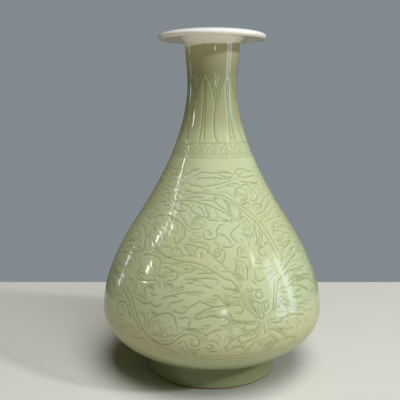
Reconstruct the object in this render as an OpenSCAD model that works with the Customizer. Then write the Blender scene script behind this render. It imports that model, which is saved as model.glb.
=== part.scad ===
// Pear-shaped celadon vase with a turned foot, a slender neck and a spread white mouth.
// Five sections are thrown apart, stepped at their edges and luted together with clay slip.
// Millimetres. The vase stands on Z = 0 and its axis is the Z axis.

/* [Foot] */
// Outer diameter of the foot ring where it stands
foot_d = 128; // [118:1:134]
// Outer diameter of the foot ring where it meets the body
foot_top_d = 126; // [114:1:132]
// Width of the foot ring from its outer wall to its inner wall
foot_w = 9; // [6:0.5:14]
// Bevel turned on both edges of the standing rim
foot_bevel = 1.4; // [0.4:0.1:2.6]

/* [Body] */
// Diameter at the widest place of the belly
belly_d = 213.6; // [200:0.2:240]
// Height of the widest place above the table
belly_z = 62.5; // [58:0.5:76]
// Horizontal half-axis of the elliptical turn below the belly
turn_w = 84.5; // [72:0.5:96]
// Vertical half-axis of the elliptical turn below the belly
turn_h = 49.3; // [42:0.1:54]
// Wall thickness of the body
body_wall = 6; // [4:0.5:9]
// Thickness of the floor
floor_t = 7; // [5:0.5:10]
// Height of the luted joint between the lower and the upper body
belly_joint_z = 100; // [84:1:124]

/* [Shoulder] */
// Height at which the sloping shoulder is measured
shoulder_z = 150; // [136:1:164]
// Diameter of the shoulder at that height
shoulder_d = 146; // [132:1:158]
// Inward lean of the shoulder there, radius lost per unit of height
shoulder_lean = 0.66; // [0.5:0.02:0.8]

/* [Neck] */
// Height of the neck between the luted joints at its two ends
neck_h = 104; // [84:1:122]
// Distance of the narrowest place of the neck below the mouth's joint
neck_waist_h = 33; // [18:1:46]
// Diameter at the narrowest place of the neck
neck_d = 46.8; // [42:0.2:60]
// Wall thickness of the neck
neck_wall = 4.5; // [3.5:0.5:6]

/* [Mouth] */
// Overall height of the vase
height = 325; // [290:1:360]
// Height of the mouth above its luted joint with the neck
mouth_h = 13; // [11:0.5:18]
// Outer diameter of the neck at that joint
mouth_joint_d = 50.6; // [48:0.2:56]
// Outer diameter of the mouth
mouth_d = 100.6; // [88:0.2:116]
// Thickness of the lip at its rounded edge
lip_t = 4.8; // [3.6:0.2:6]
// Fall of the top from its crest to the middle of the lip's edge
lip_fall = 4.8; // [4:0.2:6.4]
// Diameter of the crest of the top, where it turns down into the throat
crest_d = 74; // [64:1:82]
// Diameter of the collar where it meets the underside of the mouth
collar_d = 60; // [56:1:66]
// Rise of the hollow under the mouth above the underside of the lip
cove_h = 1.4; // [0.6:0.2:2]

/* [Joints] */
// Thickness of the clay slip in every luted joint
slip_t = 0.4; // [0.2:0.1:0.8]
// Height of the tongue that each section raises inside the next one
tongue_h = 4; // [2:0.5:5]

/* [Hidden] */
$fn = 128;

celadon = "#b9c59d";
white_glaze = "#eef0ea";
slip_clay = "#d8d3c2";

// Steps along the long curves, the turn below the belly, the collar and the round of the lip
long_steps = 32;
turn_steps = 24;
short_steps = 12;
lip_steps = 15;
// Half of the height over which the lean of a wall is measured
lean_step = 0.5;
// Angles at which the lip's round leaves the hollow under the mouth and runs into the domed top
lip_start = -90;
lip_end = 60;
// Share of the throat's rise and of its width at which the curve from the crest turns
throat_turn = 0.6;
crest_turn = 0.35;
// Share of the top's and of the hollow's width over which their ends stay straight
dome_in = 0.25;
dome_out = 0.35;
cove_in = 0.5;
cove_out = 0.3;

mouth_joint_z = height - mouth_h;
neck_z = mouth_joint_z - neck_waist_h;
neck_joint_z = mouth_joint_z - neck_h;
belly_r = belly_d / 2;
foot_r = foot_d / 2;
foot_top_r = foot_top_d / 2;
foot_in_r = foot_top_r - foot_w;
turn_c = belly_r - turn_w;
base_z = belly_z - turn_h;
floor_z = base_z + floor_t;
seat_z = turn_z(foot_top_r);
boss_r = foot_in_r - slip_t;
boss_z = turn_z(boss_r);

// Cubic between two heights with a radius and a slope at each end
function ease(z, z0, r0, m0, z1, r1, m1) =
    let (s = z1 - z0, t = (z - z0) / s, t2 = t * t, t3 = t2 * t)
    r0 * (2 * t3 - 3 * t2 + 1) + m0 * s * (t3 - 2 * t2 + t)
    + r1 * (3 * t2 - 2 * t3) + m1 * s * (t3 - t2);

// Cubic curve through two end points, drawn towards two handles
function curve(a, b, c, d, steps) =
    [for (i = [0 : steps]) let (t = i / steps, u = 1 - t)
        u * u * u * a + 3 * u * u * t * b + 3 * u * t * t * c + t * t * t * d];

// Points of a curve after its first one, where it joins on to another curve
function after(points) = [for (i = [1 : len(points) - 1]) points[i]];

// Quarter-ellipse below the belly, from one angle to another, 0 at the bottom and 90 at the belly
function turn(w, h, from, to, steps) =
    [for (i = [0 : steps]) let (a = from + (to - from) * i / steps)
        [turn_c + w * sin(a), belly_z - h * cos(a)]];

// Angle on the outer turn at a radius, and the height there
function turn_angle(r) = asin(max(0, r - turn_c) / turn_w);
function turn_z(r) = belly_z - turn_h * cos(turn_angle(r));

// Outer radius of the vase at a height above the belly, straight above the mouth's joint
function outer_r(z) =
    z < shoulder_z
    ? ease(z, belly_z, belly_r, 0, shoulder_z, shoulder_d / 2, -shoulder_lean)
    : z < neck_z
    ? ease(z, shoulder_z, shoulder_d / 2, -shoulder_lean, neck_z, neck_d / 2, 0)
    : ease(min(z, mouth_joint_z), neck_z, neck_d / 2, 0, mouth_joint_z, mouth_joint_d / 2, 0);

// Wall thickness, even in the lower body and in the neck and drawn thinner between them
function wall(z) =
    z < belly_joint_z ? body_wall
    : z > neck_joint_z ? neck_wall
    : body_wall + (neck_wall - body_wall) * (z - belly_joint_z) / (neck_joint_z - belly_joint_z);

// Inner radius: the wall measured square to a leaning surface
function lean(z) = z < belly_z + lean_step ? 0
    : (outer_r(z + lean_step) - outer_r(z - lean_step)) / (2 * lean_step);
function inner_r(z) = outer_r(z) - wall(z) * sqrt(1 + lean(z) * lean(z));
function middle_r(z) = (outer_r(z) + inner_r(z)) / 2;

// Outer and inner lines of a section between two heights, rising and falling
function outer_line(z0, z1, steps) =
    [for (i = [0 : steps]) let (z = z0 + (z1 - z0) * i / steps) [outer_r(z), z]];
function inner_line(z0, z1, steps) =
    [for (i = [0 : steps]) let (z = z0 + (z1 - z0) * i / steps) [inner_r(z), z]];

// Edge of a lower section at a joint: a flat outer half and a tongue on the inner half
function tongue(z) = [[middle_r(z), z], [middle_r(z + tongue_h), z + tongue_h]];

// Edge of the section above it, one slip thickness away, from the inside outwards
function rebate(z) = [[middle_r(z + tongue_h) + slip_t, z + tongue_h + slip_t],
                      [middle_r(z) + slip_t, z + slip_t]];

module lathe(outline) {
    rotate_extrude() polygon(outline);
}

// Layer of slip that fills the stepped joint at a height
module seam(z) {
    top_z = z + tongue_h;
    color(slip_clay) lathe(concat(
        [[outer_r(z), z], [outer_r(z + slip_t), z + slip_t]],
        [for (i = [1, 0]) rebate(z)[i]],
        [[inner_r(top_z + slip_t), top_z + slip_t], [inner_r(top_z), top_z]],
        [for (i = [1, 0]) tongue(z)[i]]));
}

module foot_ring() {
    bottom_in_r = foot_r - foot_w;
    top_z = seat_z - slip_t;
    color(celadon) lathe([
        [bottom_in_r + foot_bevel, 0], [foot_r - foot_bevel, 0], [foot_r, foot_bevel],
        [foot_top_r, top_z], [foot_in_r, top_z], [bottom_in_r, foot_bevel]]);
}

module foot_seam() {
    top_z = seat_z - slip_t;
    color(slip_clay) lathe([
        [foot_in_r, boss_z], [foot_in_r, top_z], [foot_top_r, top_z],
        [foot_top_r, seat_z], [boss_r, seat_z], [boss_r, boss_z]]);
}

module lower_body() {
    top_z = belly_joint_z + tongue_h;
    boss = boss_r > turn_c
        ? turn(turn_w, turn_h, 0, turn_angle(boss_r), short_steps)
        : [[boss_r, base_z]];
    color(celadon) lathe(concat(
        [[0, base_z]], boss, [[boss_r, seat_z]],
        turn(turn_w, turn_h, turn_angle(foot_top_r), 90, turn_steps),
        outer_line(belly_z + lean_step, belly_joint_z, turn_steps),
        tongue(belly_joint_z),
        inner_line(top_z, belly_z + lean_step, turn_steps),
        turn(turn_w - body_wall, turn_h - floor_t, 90, 0, turn_steps),
        [[0, floor_z]]));
}

module belly_seam() {
    seam(belly_joint_z);
}

module upper_body() {
    low_z = belly_joint_z + slip_t;
    color(celadon) lathe(concat(
        outer_line(low_z, neck_joint_z, long_steps),
        tongue(neck_joint_z),
        inner_line(neck_joint_z + tongue_h, low_z + tongue_h, long_steps),
        rebate(belly_joint_z)));
}

module neck_seam() {
    seam(neck_joint_z);
}

module neck() {
    low_z = neck_joint_z + slip_t;
    color(celadon) lathe(concat(
        outer_line(low_z, mouth_joint_z, long_steps),
        tongue(mouth_joint_z),
        inner_line(mouth_joint_z + tongue_h, low_z + tongue_h, long_steps),
        rebate(neck_joint_z)));
}

module mouth_seam() {
    seam(mouth_joint_z);
}

module mouth_rim() {
    low_z = mouth_joint_z + slip_t;
    lip_r = lip_t / 2;
    lip_c = mouth_d / 2 - lip_r;
    lip_z = height - lip_fall;
    under_z = lip_z - lip_r;
    cove_z = under_z + cove_h;
    neck_r = outer_r(low_z);
    collar_r = collar_d / 2;
    cove_w = lip_c - collar_r;
    crest_r = crest_d / 2;
    crest_w = lip_c - crest_r;
    throat_z = mouth_joint_z + tongue_h + slip_t;
    throat_r = inner_r(throat_z);
    throat_h = height - throat_z;
    collar_mid = [(neck_r + collar_r) / 2, (low_z + cove_z) / 2];
    collar = curve([neck_r, low_z], [neck_r, collar_mid[1]], collar_mid, [collar_r, cove_z], short_steps);
    cove = curve([collar_r, cove_z], [collar_r + cove_w * cove_in, cove_z],
        [lip_c - cove_w * cove_out, under_z], [lip_c, under_z], short_steps);
    lip = [for (i = [0 : lip_steps]) let (a = lip_start + (lip_end - lip_start) * i / lip_steps)
        [lip_c + lip_r * cos(a), lip_z + lip_r * sin(a)]];
    edge = lip[lip_steps];
    dome = curve(edge, edge + crest_w * dome_in * [-sin(lip_end), cos(lip_end)],
        [crest_r + crest_w * dome_out, height], [crest_r, height], short_steps);
    throat = curve([crest_r, height], [throat_r + (crest_r - throat_r) * crest_turn, height],
        [throat_r, throat_z + throat_h * throat_turn], [throat_r, throat_z], turn_steps);
    color(white_glaze) lathe(concat(collar, after(cove), after(lip), after(dome), after(throat),
        rebate(mouth_joint_z)));
}

foot_ring();
foot_seam();
lower_body();
belly_seam();
upper_body();
neck_seam();
neck();
mouth_seam();
mouth_rim();
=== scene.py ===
import bpy
import numpy as np
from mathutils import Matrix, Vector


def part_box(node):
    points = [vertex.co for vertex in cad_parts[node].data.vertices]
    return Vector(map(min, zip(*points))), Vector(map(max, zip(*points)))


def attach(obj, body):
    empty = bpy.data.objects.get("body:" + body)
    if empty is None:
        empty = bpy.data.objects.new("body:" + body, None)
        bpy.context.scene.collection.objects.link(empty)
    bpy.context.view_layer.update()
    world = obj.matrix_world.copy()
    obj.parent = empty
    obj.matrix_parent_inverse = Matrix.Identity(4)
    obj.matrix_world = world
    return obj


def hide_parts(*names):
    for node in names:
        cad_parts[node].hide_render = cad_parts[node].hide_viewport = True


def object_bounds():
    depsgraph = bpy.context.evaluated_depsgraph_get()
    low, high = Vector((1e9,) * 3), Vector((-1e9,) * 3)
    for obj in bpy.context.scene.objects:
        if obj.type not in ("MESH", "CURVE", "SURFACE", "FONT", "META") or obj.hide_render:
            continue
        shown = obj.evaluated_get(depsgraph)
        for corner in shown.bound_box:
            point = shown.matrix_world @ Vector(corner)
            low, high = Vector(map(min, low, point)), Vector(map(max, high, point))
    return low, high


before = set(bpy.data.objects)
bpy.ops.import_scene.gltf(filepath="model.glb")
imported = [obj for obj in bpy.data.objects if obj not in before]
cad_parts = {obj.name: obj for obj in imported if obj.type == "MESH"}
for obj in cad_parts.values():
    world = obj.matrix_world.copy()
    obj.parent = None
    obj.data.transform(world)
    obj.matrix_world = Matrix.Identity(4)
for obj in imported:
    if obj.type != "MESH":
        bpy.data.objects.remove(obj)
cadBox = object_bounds()
mm = 0.001  # lengths below are millimetres, meshes are metres
tiny = 1e-9  # keeps a length from being nothing
print("frame loaded:", len(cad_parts), "nodes")


# height of a node's lowest point
def foot(node):
    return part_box(node)[0].z / mm


# a node's widest radius
def reach(node):
    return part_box(node)[1].x / mm


# height of a node's highest point
def peak(node):
    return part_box(node)[1].z / mm


vaseLine = {
    "bellyHeight": 62.5,
    "bellyRadius": reach("lower_body"),
    "turnWidth": 84.5,  # half-axes of the quarter ellipse below the belly
    "turnHeight": 49.3,
    "shoulder": (150.0, 73.0, -0.66),  # height, radius, radius gained per unit of height
    "waist": (279.0, 23.4, 0.0),
    "neckTop": (foot("mouth_seam"), 25.3, 0.0),
    "bodyWall": 6.0,
    "neckWall": 4.5,
    "floor": 7.0,
    "seat": peak("foot_ring"),
    "bellyJoint": foot("belly_seam"),
    "neckJoint": foot("neck_seam"),
    "mouthJoint": foot("mouth_seam"),
    "slip": 0.4,
    "tongue": 4.0,
    "glaze": 0.15,  # the glaze stands this far off the turned clay
    "slopeStep": 0.1,  # two radii this far apart give a slope
    "samples": 12001,  # of the length along the surface
}


# cubic between two (height, radius, slope) ends
def ease(z, low, high):
    span = high[0] - low[0]
    t = (z - low[0]) / span
    rise = low[1] * (2 * t**3 - 3 * t**2 + 1) + high[1] * (3 * t**2 - 2 * t**3)
    return rise + span * (low[2] * (t**3 - 2 * t**2 + t) + high[2] * (t**3 - t**2))


# radius at a height below the belly, on a quarter ellipse that stands out from a middle circle
def turnRadius(z, width, height):
    drop = np.clip((vaseLine["bellyHeight"] - z) / height, 0, 1)
    return vaseLine["bellyRadius"] - vaseLine["turnWidth"] + width * np.sqrt(1 - drop**2)


# outer radius of the clay: the elliptical turn, then cubics to the shoulder, the waist and the mouth
def clayRadius(z):
    z = np.asarray(z, float)
    belly = (vaseLine["bellyHeight"], vaseLine["bellyRadius"], 0.0)
    shoulder, waist, top = vaseLine["shoulder"], vaseLine["waist"], vaseLine["neckTop"]
    places = [z < belly[0], z < shoulder[0], z < waist[0]]
    radii = [turnRadius(z, vaseLine["turnWidth"], vaseLine["turnHeight"]),
             ease(z, belly, shoulder), ease(z, shoulder, waist)]
    return np.select(places, radii, ease(np.minimum(z, top[0]), waist, top))


# radius gained per unit of height, from two radii close together
def claySlope(z):
    half = vaseLine["slopeStep"] / 2
    return (clayRadius(z + half) - clayRadius(z - half)) / vaseLine["slopeStep"]


# wall thickness, even in the body and in the neck and drawn thinner between their joints
def wallAt(z):
    low, high = vaseLine["bellyJoint"], vaseLine["neckJoint"]
    return np.interp(z, [low, high], [vaseLine["bodyWall"], vaseLine["neckWall"]])


# inner radius: a smaller ellipse below the belly, the wall measured square to the surface above it
def innerRadius(z):
    z = np.asarray(z, float)
    width = vaseLine["turnWidth"] - vaseLine["bodyWall"]
    low = turnRadius(z, width, vaseLine["turnHeight"] - vaseLine["floor"])
    high = clayRadius(z) - wallAt(z) * np.sqrt(1 + claySlope(z) ** 2)
    return np.where(z < vaseLine["bellyHeight"], low, high)


# radius halfway through the wall
def middleRadius(z):
    return (clayRadius(z) + innerRadius(z)) / 2


# length along the surface from the foot's seat, by adding up short steps, and back to a height
tableHeight = np.linspace(vaseLine["seat"], vaseLine["neckTop"][0] + 1, vaseLine["samples"])
tableLength = np.append(0, np.cumsum(np.hypot(np.diff(tableHeight), np.diff(clayRadius(tableHeight)))))


def lengthAt(z):
    return np.interp(z, tableHeight, tableLength)


def heightAt(length):
    return np.interp(length, tableLength, tableHeight)


# Incised pattern. Each cut is a list of (angle in degrees, height) points drawn on the surface.
carving = {
    "turn": -0.75,  # degrees added to every drawn angle, so that they count from the camera
    "drop": 0.05,  # taken off every drawn height
    "repeats": 3,  # the drawn field covers a third of the way round
    "leaves": 7,
    "leafStart": -17.0,
    "curls": 18,
    "curlStart": 3.0,
    "curlHeight": 217.8,
    "rings": {287.3: 0.5, 285.0: 0.5, 223.6: 0.7, 214.2: 0.7, 212.3: 0.6, 210.3: 0.6, 50.6: 0.6,
              47.4: 0.75, 44.2: 0.65, 40.8: 0.5},
    "curlDeep": 0.65,
    "steps": 26,  # samples from one drawn point to the next
    "depth": 0.15,
    "shares": (1.1, 0.75, 0.62),  # of that depth for the main cuts, the veins and the fine cuts
    "deeper": ([60, 130], [1.05, 0.92]),  # heights, and how much deeper the field is cut there
    "width": 0.42,  # spread of a cut's hollow
    "gather": 0.4,  # spread of the glaze that gathers in it
    "taper": 2.4,  # length over which a cut fades at its ends
    "runOn": 1.2,  # an open cut runs on this far past its first and last points
    "slant": (0.17, 1.5),  # share of the depth on a cut's shallow side, and the width of that side
    "edge": (0.34, 1.05, 0.4),  # thinner glaze beside the steep side: share, distance and spread
    "endShare": 0.3,  # of the depth at the very end of a cut
    "leafDeep": 1.25,
    "curlSize": (4.6, 2.1),  # half of a curl's width in degrees, and half of its height
    "dotRadius": 0.5,  # of the dot in a curl's middle
    "ringStep": 4,  # degrees from one point of a ring to the next
    "margin": 3.0,  # cuts this far past a piece's two ends still count
    "search": (3, 5),  # rows and columns, each way, of the grid points that a sample offers itself to
    "far": 9.0,  # distance given where no cut is near
}

upperLeaves = [
    [(-34, 192), (-31, 195), (-26, 197.5), (-22, 199.5), (-17, 200)],
    [(-20, 194.5), (-17.5, 195.8), (-15, 197.3), (-12, 198.6)],
    [(-13, 198.5), (-6, 198), (0, 197.5), (5, 197.6), (12, 198), (18, 197.5), (22, 197)],
    [(-17, 192), (-13, 193), (-8, 193.6), (-3, 193.5), (3, 194), (8, 193), (13, 193), (17, 192.5),
     (20, 193.5), (22.5, 194.5)],
    [(8, 196), (13, 194.8), (20, 194), (22.5, 195)],
    [(-22, 187), (-14, 186.5), (-9, 185.5)],
    [(-7, 186.5), (0, 187.5), (5, 188), (10, 189), (15, 190), (18, 190.8), (22, 192)],
    [(-28, 182.5), (-24, 181.8), (-18, 181.2), (-10, 181), (-5, 180.6), (0, 180), (4, 179)],
    [(-35, 172.5), (-31, 173), (-25, 174.3), (-19, 174.2), (-14, 173.5), (-10, 172.5), (-6, 171.6),
     (-2, 170.3), (2, 168.8), (6, 167), (10, 164.5), (14, 161.5)],
    [(-10, 175), (-4, 175), (0, 174.8), (3, 173), (6, 170.5), (10, 167.5), (13, 164.5), (15.5, 162)],
    [(10, 174.5), (14, 171), (14.5, 167), (15, 163)],
    [(24, 166), (22.5, 163), (21.5, 160)],
    [(-28, 172), (-24, 170.5), (-20, 169.5), (-17, 166.5), (-15, 164.8), (-12, 163.8), (-9, 163)],
    [(-12, 169.5), (-10, 168.5), (-8, 166.5), (-6.5, 163.5)],
    [(-6, 170), (-5, 167.5), (-3.5, 164), (-3, 161)],
]

mainStem = [
    [(4, 180.5), (8, 179), (12, 177.7), (16, 175.3), (20, 172.5), (25, 169.5), (30, 165.5), (34, 160.5),
     (36.5, 157), (38.5, 152.5), (40.5, 146.5), (41.8, 140), (42.7, 135), (43.5, 130)],
    [(8, 176.5), (13, 174), (17, 172), (20, 170), (24, 167), (27.5, 162.5), (30.5, 159), (34, 155.5),
     (35.5, 151), (37, 146), (38.5, 141), (39.3, 136), (40, 130), (40.5, 127), (42, 126)],
]

topCluster = [
    [(28, 199), (31, 200), (35, 200.3), (40, 199.8), (44, 198), (50, 197.5), (55, 198)],
    [(31.5, 194.5), (36, 193), (42, 193), (50, 193.5), (56, 193)],
    [(30, 190.5), (36, 189), (42, 188.3), (50, 187), (56, 187.5)],
    [(12, 187), (15, 187), (18, 188), (22, 188.7), (25, 188.5), (28.5, 187)],
    [(21, 176.5), (21.5, 180), (23, 183), (26, 184.7), (30, 184)],
    [(27, 178.5), (29, 179), (31, 178), (32, 176), (30.5, 174.5), (28, 174.5)],
    [(30, 185.5), (33, 187), (36, 187), (39, 186), (41, 184), (42.5, 182), (44, 180.5), (45.5, 179),
     (45.5, 176.5), (44.5, 174.5), (42, 173.3), (39, 173), (36, 174)],
    [(26, 170.5), (29, 170.7), (31.5, 172), (33, 171)],
    [(37, 168.5), (38.5, 169.8), (42, 169.8), (44.5, 169), (44.8, 166.5)],
    [(40, 166.2), (41, 167), (42.5, 166.3)],
    [(38, 161.5), (41, 162), (44.5, 163.5)],
    [(45.5, 168), (47.5, 168.8), (50, 171), (53, 172.4), (57, 174.3)],
    [(46, 162.5), (48, 164), (50, 165.3), (53, 166.3), (57, 168.3), (61, 170)],
]

middleClouds = [
    [(-26, 163), (-24, 160.5), (-21, 157.5), (-19, 155.2), (-17, 153.5), (-15, 152.2), (-12, 151.6),
     (-9, 152), (-7.3, 153.5), (-7.6, 155.5), (-9.5, 156.3)],
    [(-14.7, 155), (-15, 157), (-14.3, 159), (-12, 160.2), (-8, 161.5), (-5, 161.5), (-3, 160)],
    [(-60, 156), (-55, 155.5), (-52, 156), (-48, 157.8), (-45, 159.5), (-39, 160.8), (-36, 160.8),
     (-33, 160), (-29, 158), (-26, 156.8), (-22.5, 155.3), (-20.5, 153), (-19.3, 149.5), (-19, 145.5),
     (-20.5, 142.5), (-22.5, 139.8)],
    [(-25.8, 144), (-24.5, 141), (-22.8, 139.5)],
    [(-51, 170), (-45, 171.5)],
    [(-45, 168), (-39, 168.6), (-34, 167.2), (-30, 165.8), (-27, 165.2), (-22, 165.6)],
    [(8, 156), (5, 155.5), (4, 153.5), (2.6, 151.5), (3, 149), (2.4, 146), (0, 144.6), (-3, 144.5),
     (-5, 145.5), (-5.6, 147.5), (-5.7, 150)],
    [(-3, 150.5), (-1.5, 149.5), (-1, 148)],
    [(-3, 165), (-3.2, 161), (-2, 159), (2, 159), (4, 158.5)],
    [(7.5, 158.7), (10, 158.3), (13, 158)],
    [(5, 147.5), (8, 146.5), (9.5, 145), (11, 142.5), (11.5, 141)],
    [(6, 139.5), (7.5, 138.2), (11, 138), (13, 139)],
    [(1.5, 142), (3, 140.5), (3.8, 138)],
    [(-15, 143), (-12, 142), (-8, 141.8), (-5, 141), (-3, 139.5)],
    [(-17, 140), (-12, 139.5), (-9, 138), (-6, 137.8)],
    [(-18, 138.5), (-16.5, 136.5), (-15, 134.5), (-13, 132.7), (-12, 132.3)],
    [(-24, 136.5), (-21, 136), (-19, 133.5), (-17.5, 132)],
    [(5, 125.5), (6.5, 128.5), (7.3, 131.5), (7.4, 134.5), (6, 136.6), (3.8, 137.2), (1.6, 136.3),
     (0.9, 133.8), (2.5, 131), (4, 131.8), (5, 133.3), (4.4, 134.8), (3.2, 134.9), (2.5, 133.8)],
    [(-10.2, 131), (-10.3, 134), (-9.2, 136.8), (-7, 138), (-4, 136.8), (-2.5, 134.5), (0, 132), (2, 129),
     (4.5, 126.5), (5.5, 124.5), (7.5, 121.5)],
    [(-6.5, 134), (-6.4, 130.5)],
]

stemClouds = [
    [(20, 155.5), (17, 153), (14.5, 151.5), (12.8, 149.5), (12.2, 147), (13, 145), (14.5, 143),
     (16.5, 141)],
    [(30.5, 154), (30, 151), (28.5, 148.5), (26, 146.3), (23.5, 146.3), (22, 147.5)],
    [(22, 150), (23, 151.3), (24.5, 150.5)],
    [(20, 158), (22, 160), (24.5, 160.8), (26.5, 159), (28, 156)],
    [(32, 154), (31, 149), (30, 143), (28, 139)],
    [(34, 150), (33, 145.5), (30.5, 141), (29, 138.5)],
    [(35.5, 147), (34, 143.5), (32, 140), (30, 137)],
    [(37, 138.5), (35, 138), (33.5, 136.5), (31, 135.8), (29, 134.8), (28.3, 133), (28.8, 131),
     (30.5, 129.5), (32.5, 129.3), (34, 130.5), (33, 132.5)],
    [(18, 138.5), (16, 137.5), (14.8, 135.5), (14.6, 131)],
    [(16.5, 129.8), (20, 129.5)],
    [(12.8, 126), (13, 121)],
    [(18.5, 124), (19, 119)],
    [(46, 145), (47.5, 147), (50, 150)],
    [(45.5, 138.7), (50, 138)],
    [(48, 131.5), (52, 132.7), (57, 134.5), (60, 135)],
    [(45, 126.5), (43, 122), (41.5, 119)],
    [(50, 121), (54, 122.5), (58, 123)],
]

leftLeaves = [
    [(-62, 148.8), (-58, 148), (-55, 146.5), (-53, 145.2), (-51.5, 143.5), (-49.5, 141), (-48, 137.5),
     (-46.5, 133.5), (-45, 131)],
    [(-62, 142.5), (-59, 142), (-57, 140), (-55.5, 137.5)],
    [(-55, 133), (-53, 132), (-50.5, 131), (-48, 130.5), (-46, 130)],
    [(-42, 141), (-40.5, 138.5), (-38.5, 136), (-36, 134), (-33.5, 132.5), (-31, 130.3), (-29, 129.5)],
    [(-40, 146), (-37, 145.9), (-34.5, 144), (-32.5, 142), (-31, 140.5)],
    [(-47, 152), (-45, 150), (-43.5, 147.5), (-42.5, 145.5)],
    [(-36, 143.5), (-35.5, 140), (-36, 137)],
    [(-32, 136), (-29, 136.3), (-27, 136.5)],
    [(-43.5, 126), (-42, 127.5), (-40, 128.5), (-37, 128), (-34, 127.5), (-31.5, 126.5), (-30.5, 124.5),
     (-30.5, 122)],
]

wideWing = [
    [(-30, 129.3), (-26.5, 128.3), (-22, 127.3), (-15, 126.5), (-10, 126), (-5, 124), (-2, 122),
     (1, 119.5), (4, 116.5), (6, 114.5), (8, 113.3), (10, 112), (12, 107), (13.5, 103.5), (14.5, 98),
     (15.5, 93), (17, 89), (19, 85.5), (21, 82.5)],
    [(-28, 120.5), (-25, 120.3), (-22, 119), (-20, 118.3)],
    [(-19, 117), (-18.7, 114.5), (-19.3, 112.5), (-22, 111.3), (-23.5, 111.2)],
    [(-30, 114), (-27, 113.5), (-24.5, 113)],
    [(-15, 120.5), (-12, 121.2), (-9, 121)],
    [(-16, 117), (-14, 118.5), (-10, 119.5)],
    [(-8, 118), (-4, 118.5), (0, 118.5)],
    [(-14, 113.2), (-10, 113.5), (-6, 114.5), (-2, 114.8), (1, 114), (2.5, 113.2)],
    [(-13, 110.5), (-10, 110.5)],
    [(-7.8, 109.2), (-7.2, 109.2)],
    [(-5, 109.5), (-2, 108), (0, 107)],
    [(5, 108.5), (6.5, 106.5), (10, 106), (12, 105.5), (13.5, 103)],
    [(-18, 106), (-15.5, 106.5), (-14.5, 107.5)],
    [(-25, 96), (-22, 98.5), (-18, 101), (-14, 102.8), (-10, 103.5), (-6, 103.8), (-4.5, 103.3)],
    [(-30, 90), (-28, 89.2), (-26, 90), (-25.5, 91.5)],
    [(-20.8, 90.5), (-20.5, 92.5), (-19, 94.2), (-17, 95), (-15, 96.5), (-14, 97.2)],
    [(-19, 88), (-17, 86.9), (-15, 86.5), (-13, 87.3), (-12, 89.2), (-11, 91.2), (-10, 92.5), (-8.5, 94),
     (-7, 95.8), (-5.8, 96.8), (-4.5, 96), (-2.5, 94.8), (-0.5, 93.3), (0.5, 92.7), (2, 93), (5, 93.6),
     (8, 93.2)],
    [(-14, 91.5), (-12, 91.5)],
    [(-8, 86), (-6, 87.5), (-4, 89.5), (-2, 91), (0, 92)],
    [(0, 98.6), (2, 98.6)],
    [(0.5, 101.5), (2.5, 101.2), (4, 98.5), (5.5, 96), (7, 94.7), (8.5, 94.8), (9.5, 96)],
    [(10, 99.8), (14, 99.5)],
    [(9.5, 93.5), (12, 93.7), (13.5, 93), (14.5, 91), (14.2, 89), (13, 87), (11, 87.5)],
    [(-25, 106), (-24.5, 107.8), (-22.5, 108.5), (-20.5, 107.5), (-19.8, 105.8)],
    [(-30, 83.5), (-27, 82.5), (-25, 83.5), (-23, 84.8), (-20.5, 85), (-18.5, 84), (-17.5, 82), (-17, 79),
     (-16.5, 76)],
    [(-10.2, 81.5), (-10.5, 79), (-10.8, 76.5)],
    [(-15.5, 82), (-13, 83), (-11, 83)],
    [(-7.5, 82.3), (-5, 83.5), (-2.5, 84.8), (1, 85), (3, 84.5), (5.5, 84), (7.5, 82.5), (8, 80.5),
     (7.2, 78.5), (5.5, 77.5), (4, 78)],
    [(-4, 77.5), (-1, 77.8)],
    [(8, 87), (8.5, 85), (9.3, 83)],
    [(9, 82), (12, 80.8), (15, 80), (18, 79.5), (20, 79.3)],
    [(9.5, 79.8), (13, 78.8), (17, 77.8), (20, 77.5)],
]

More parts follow.
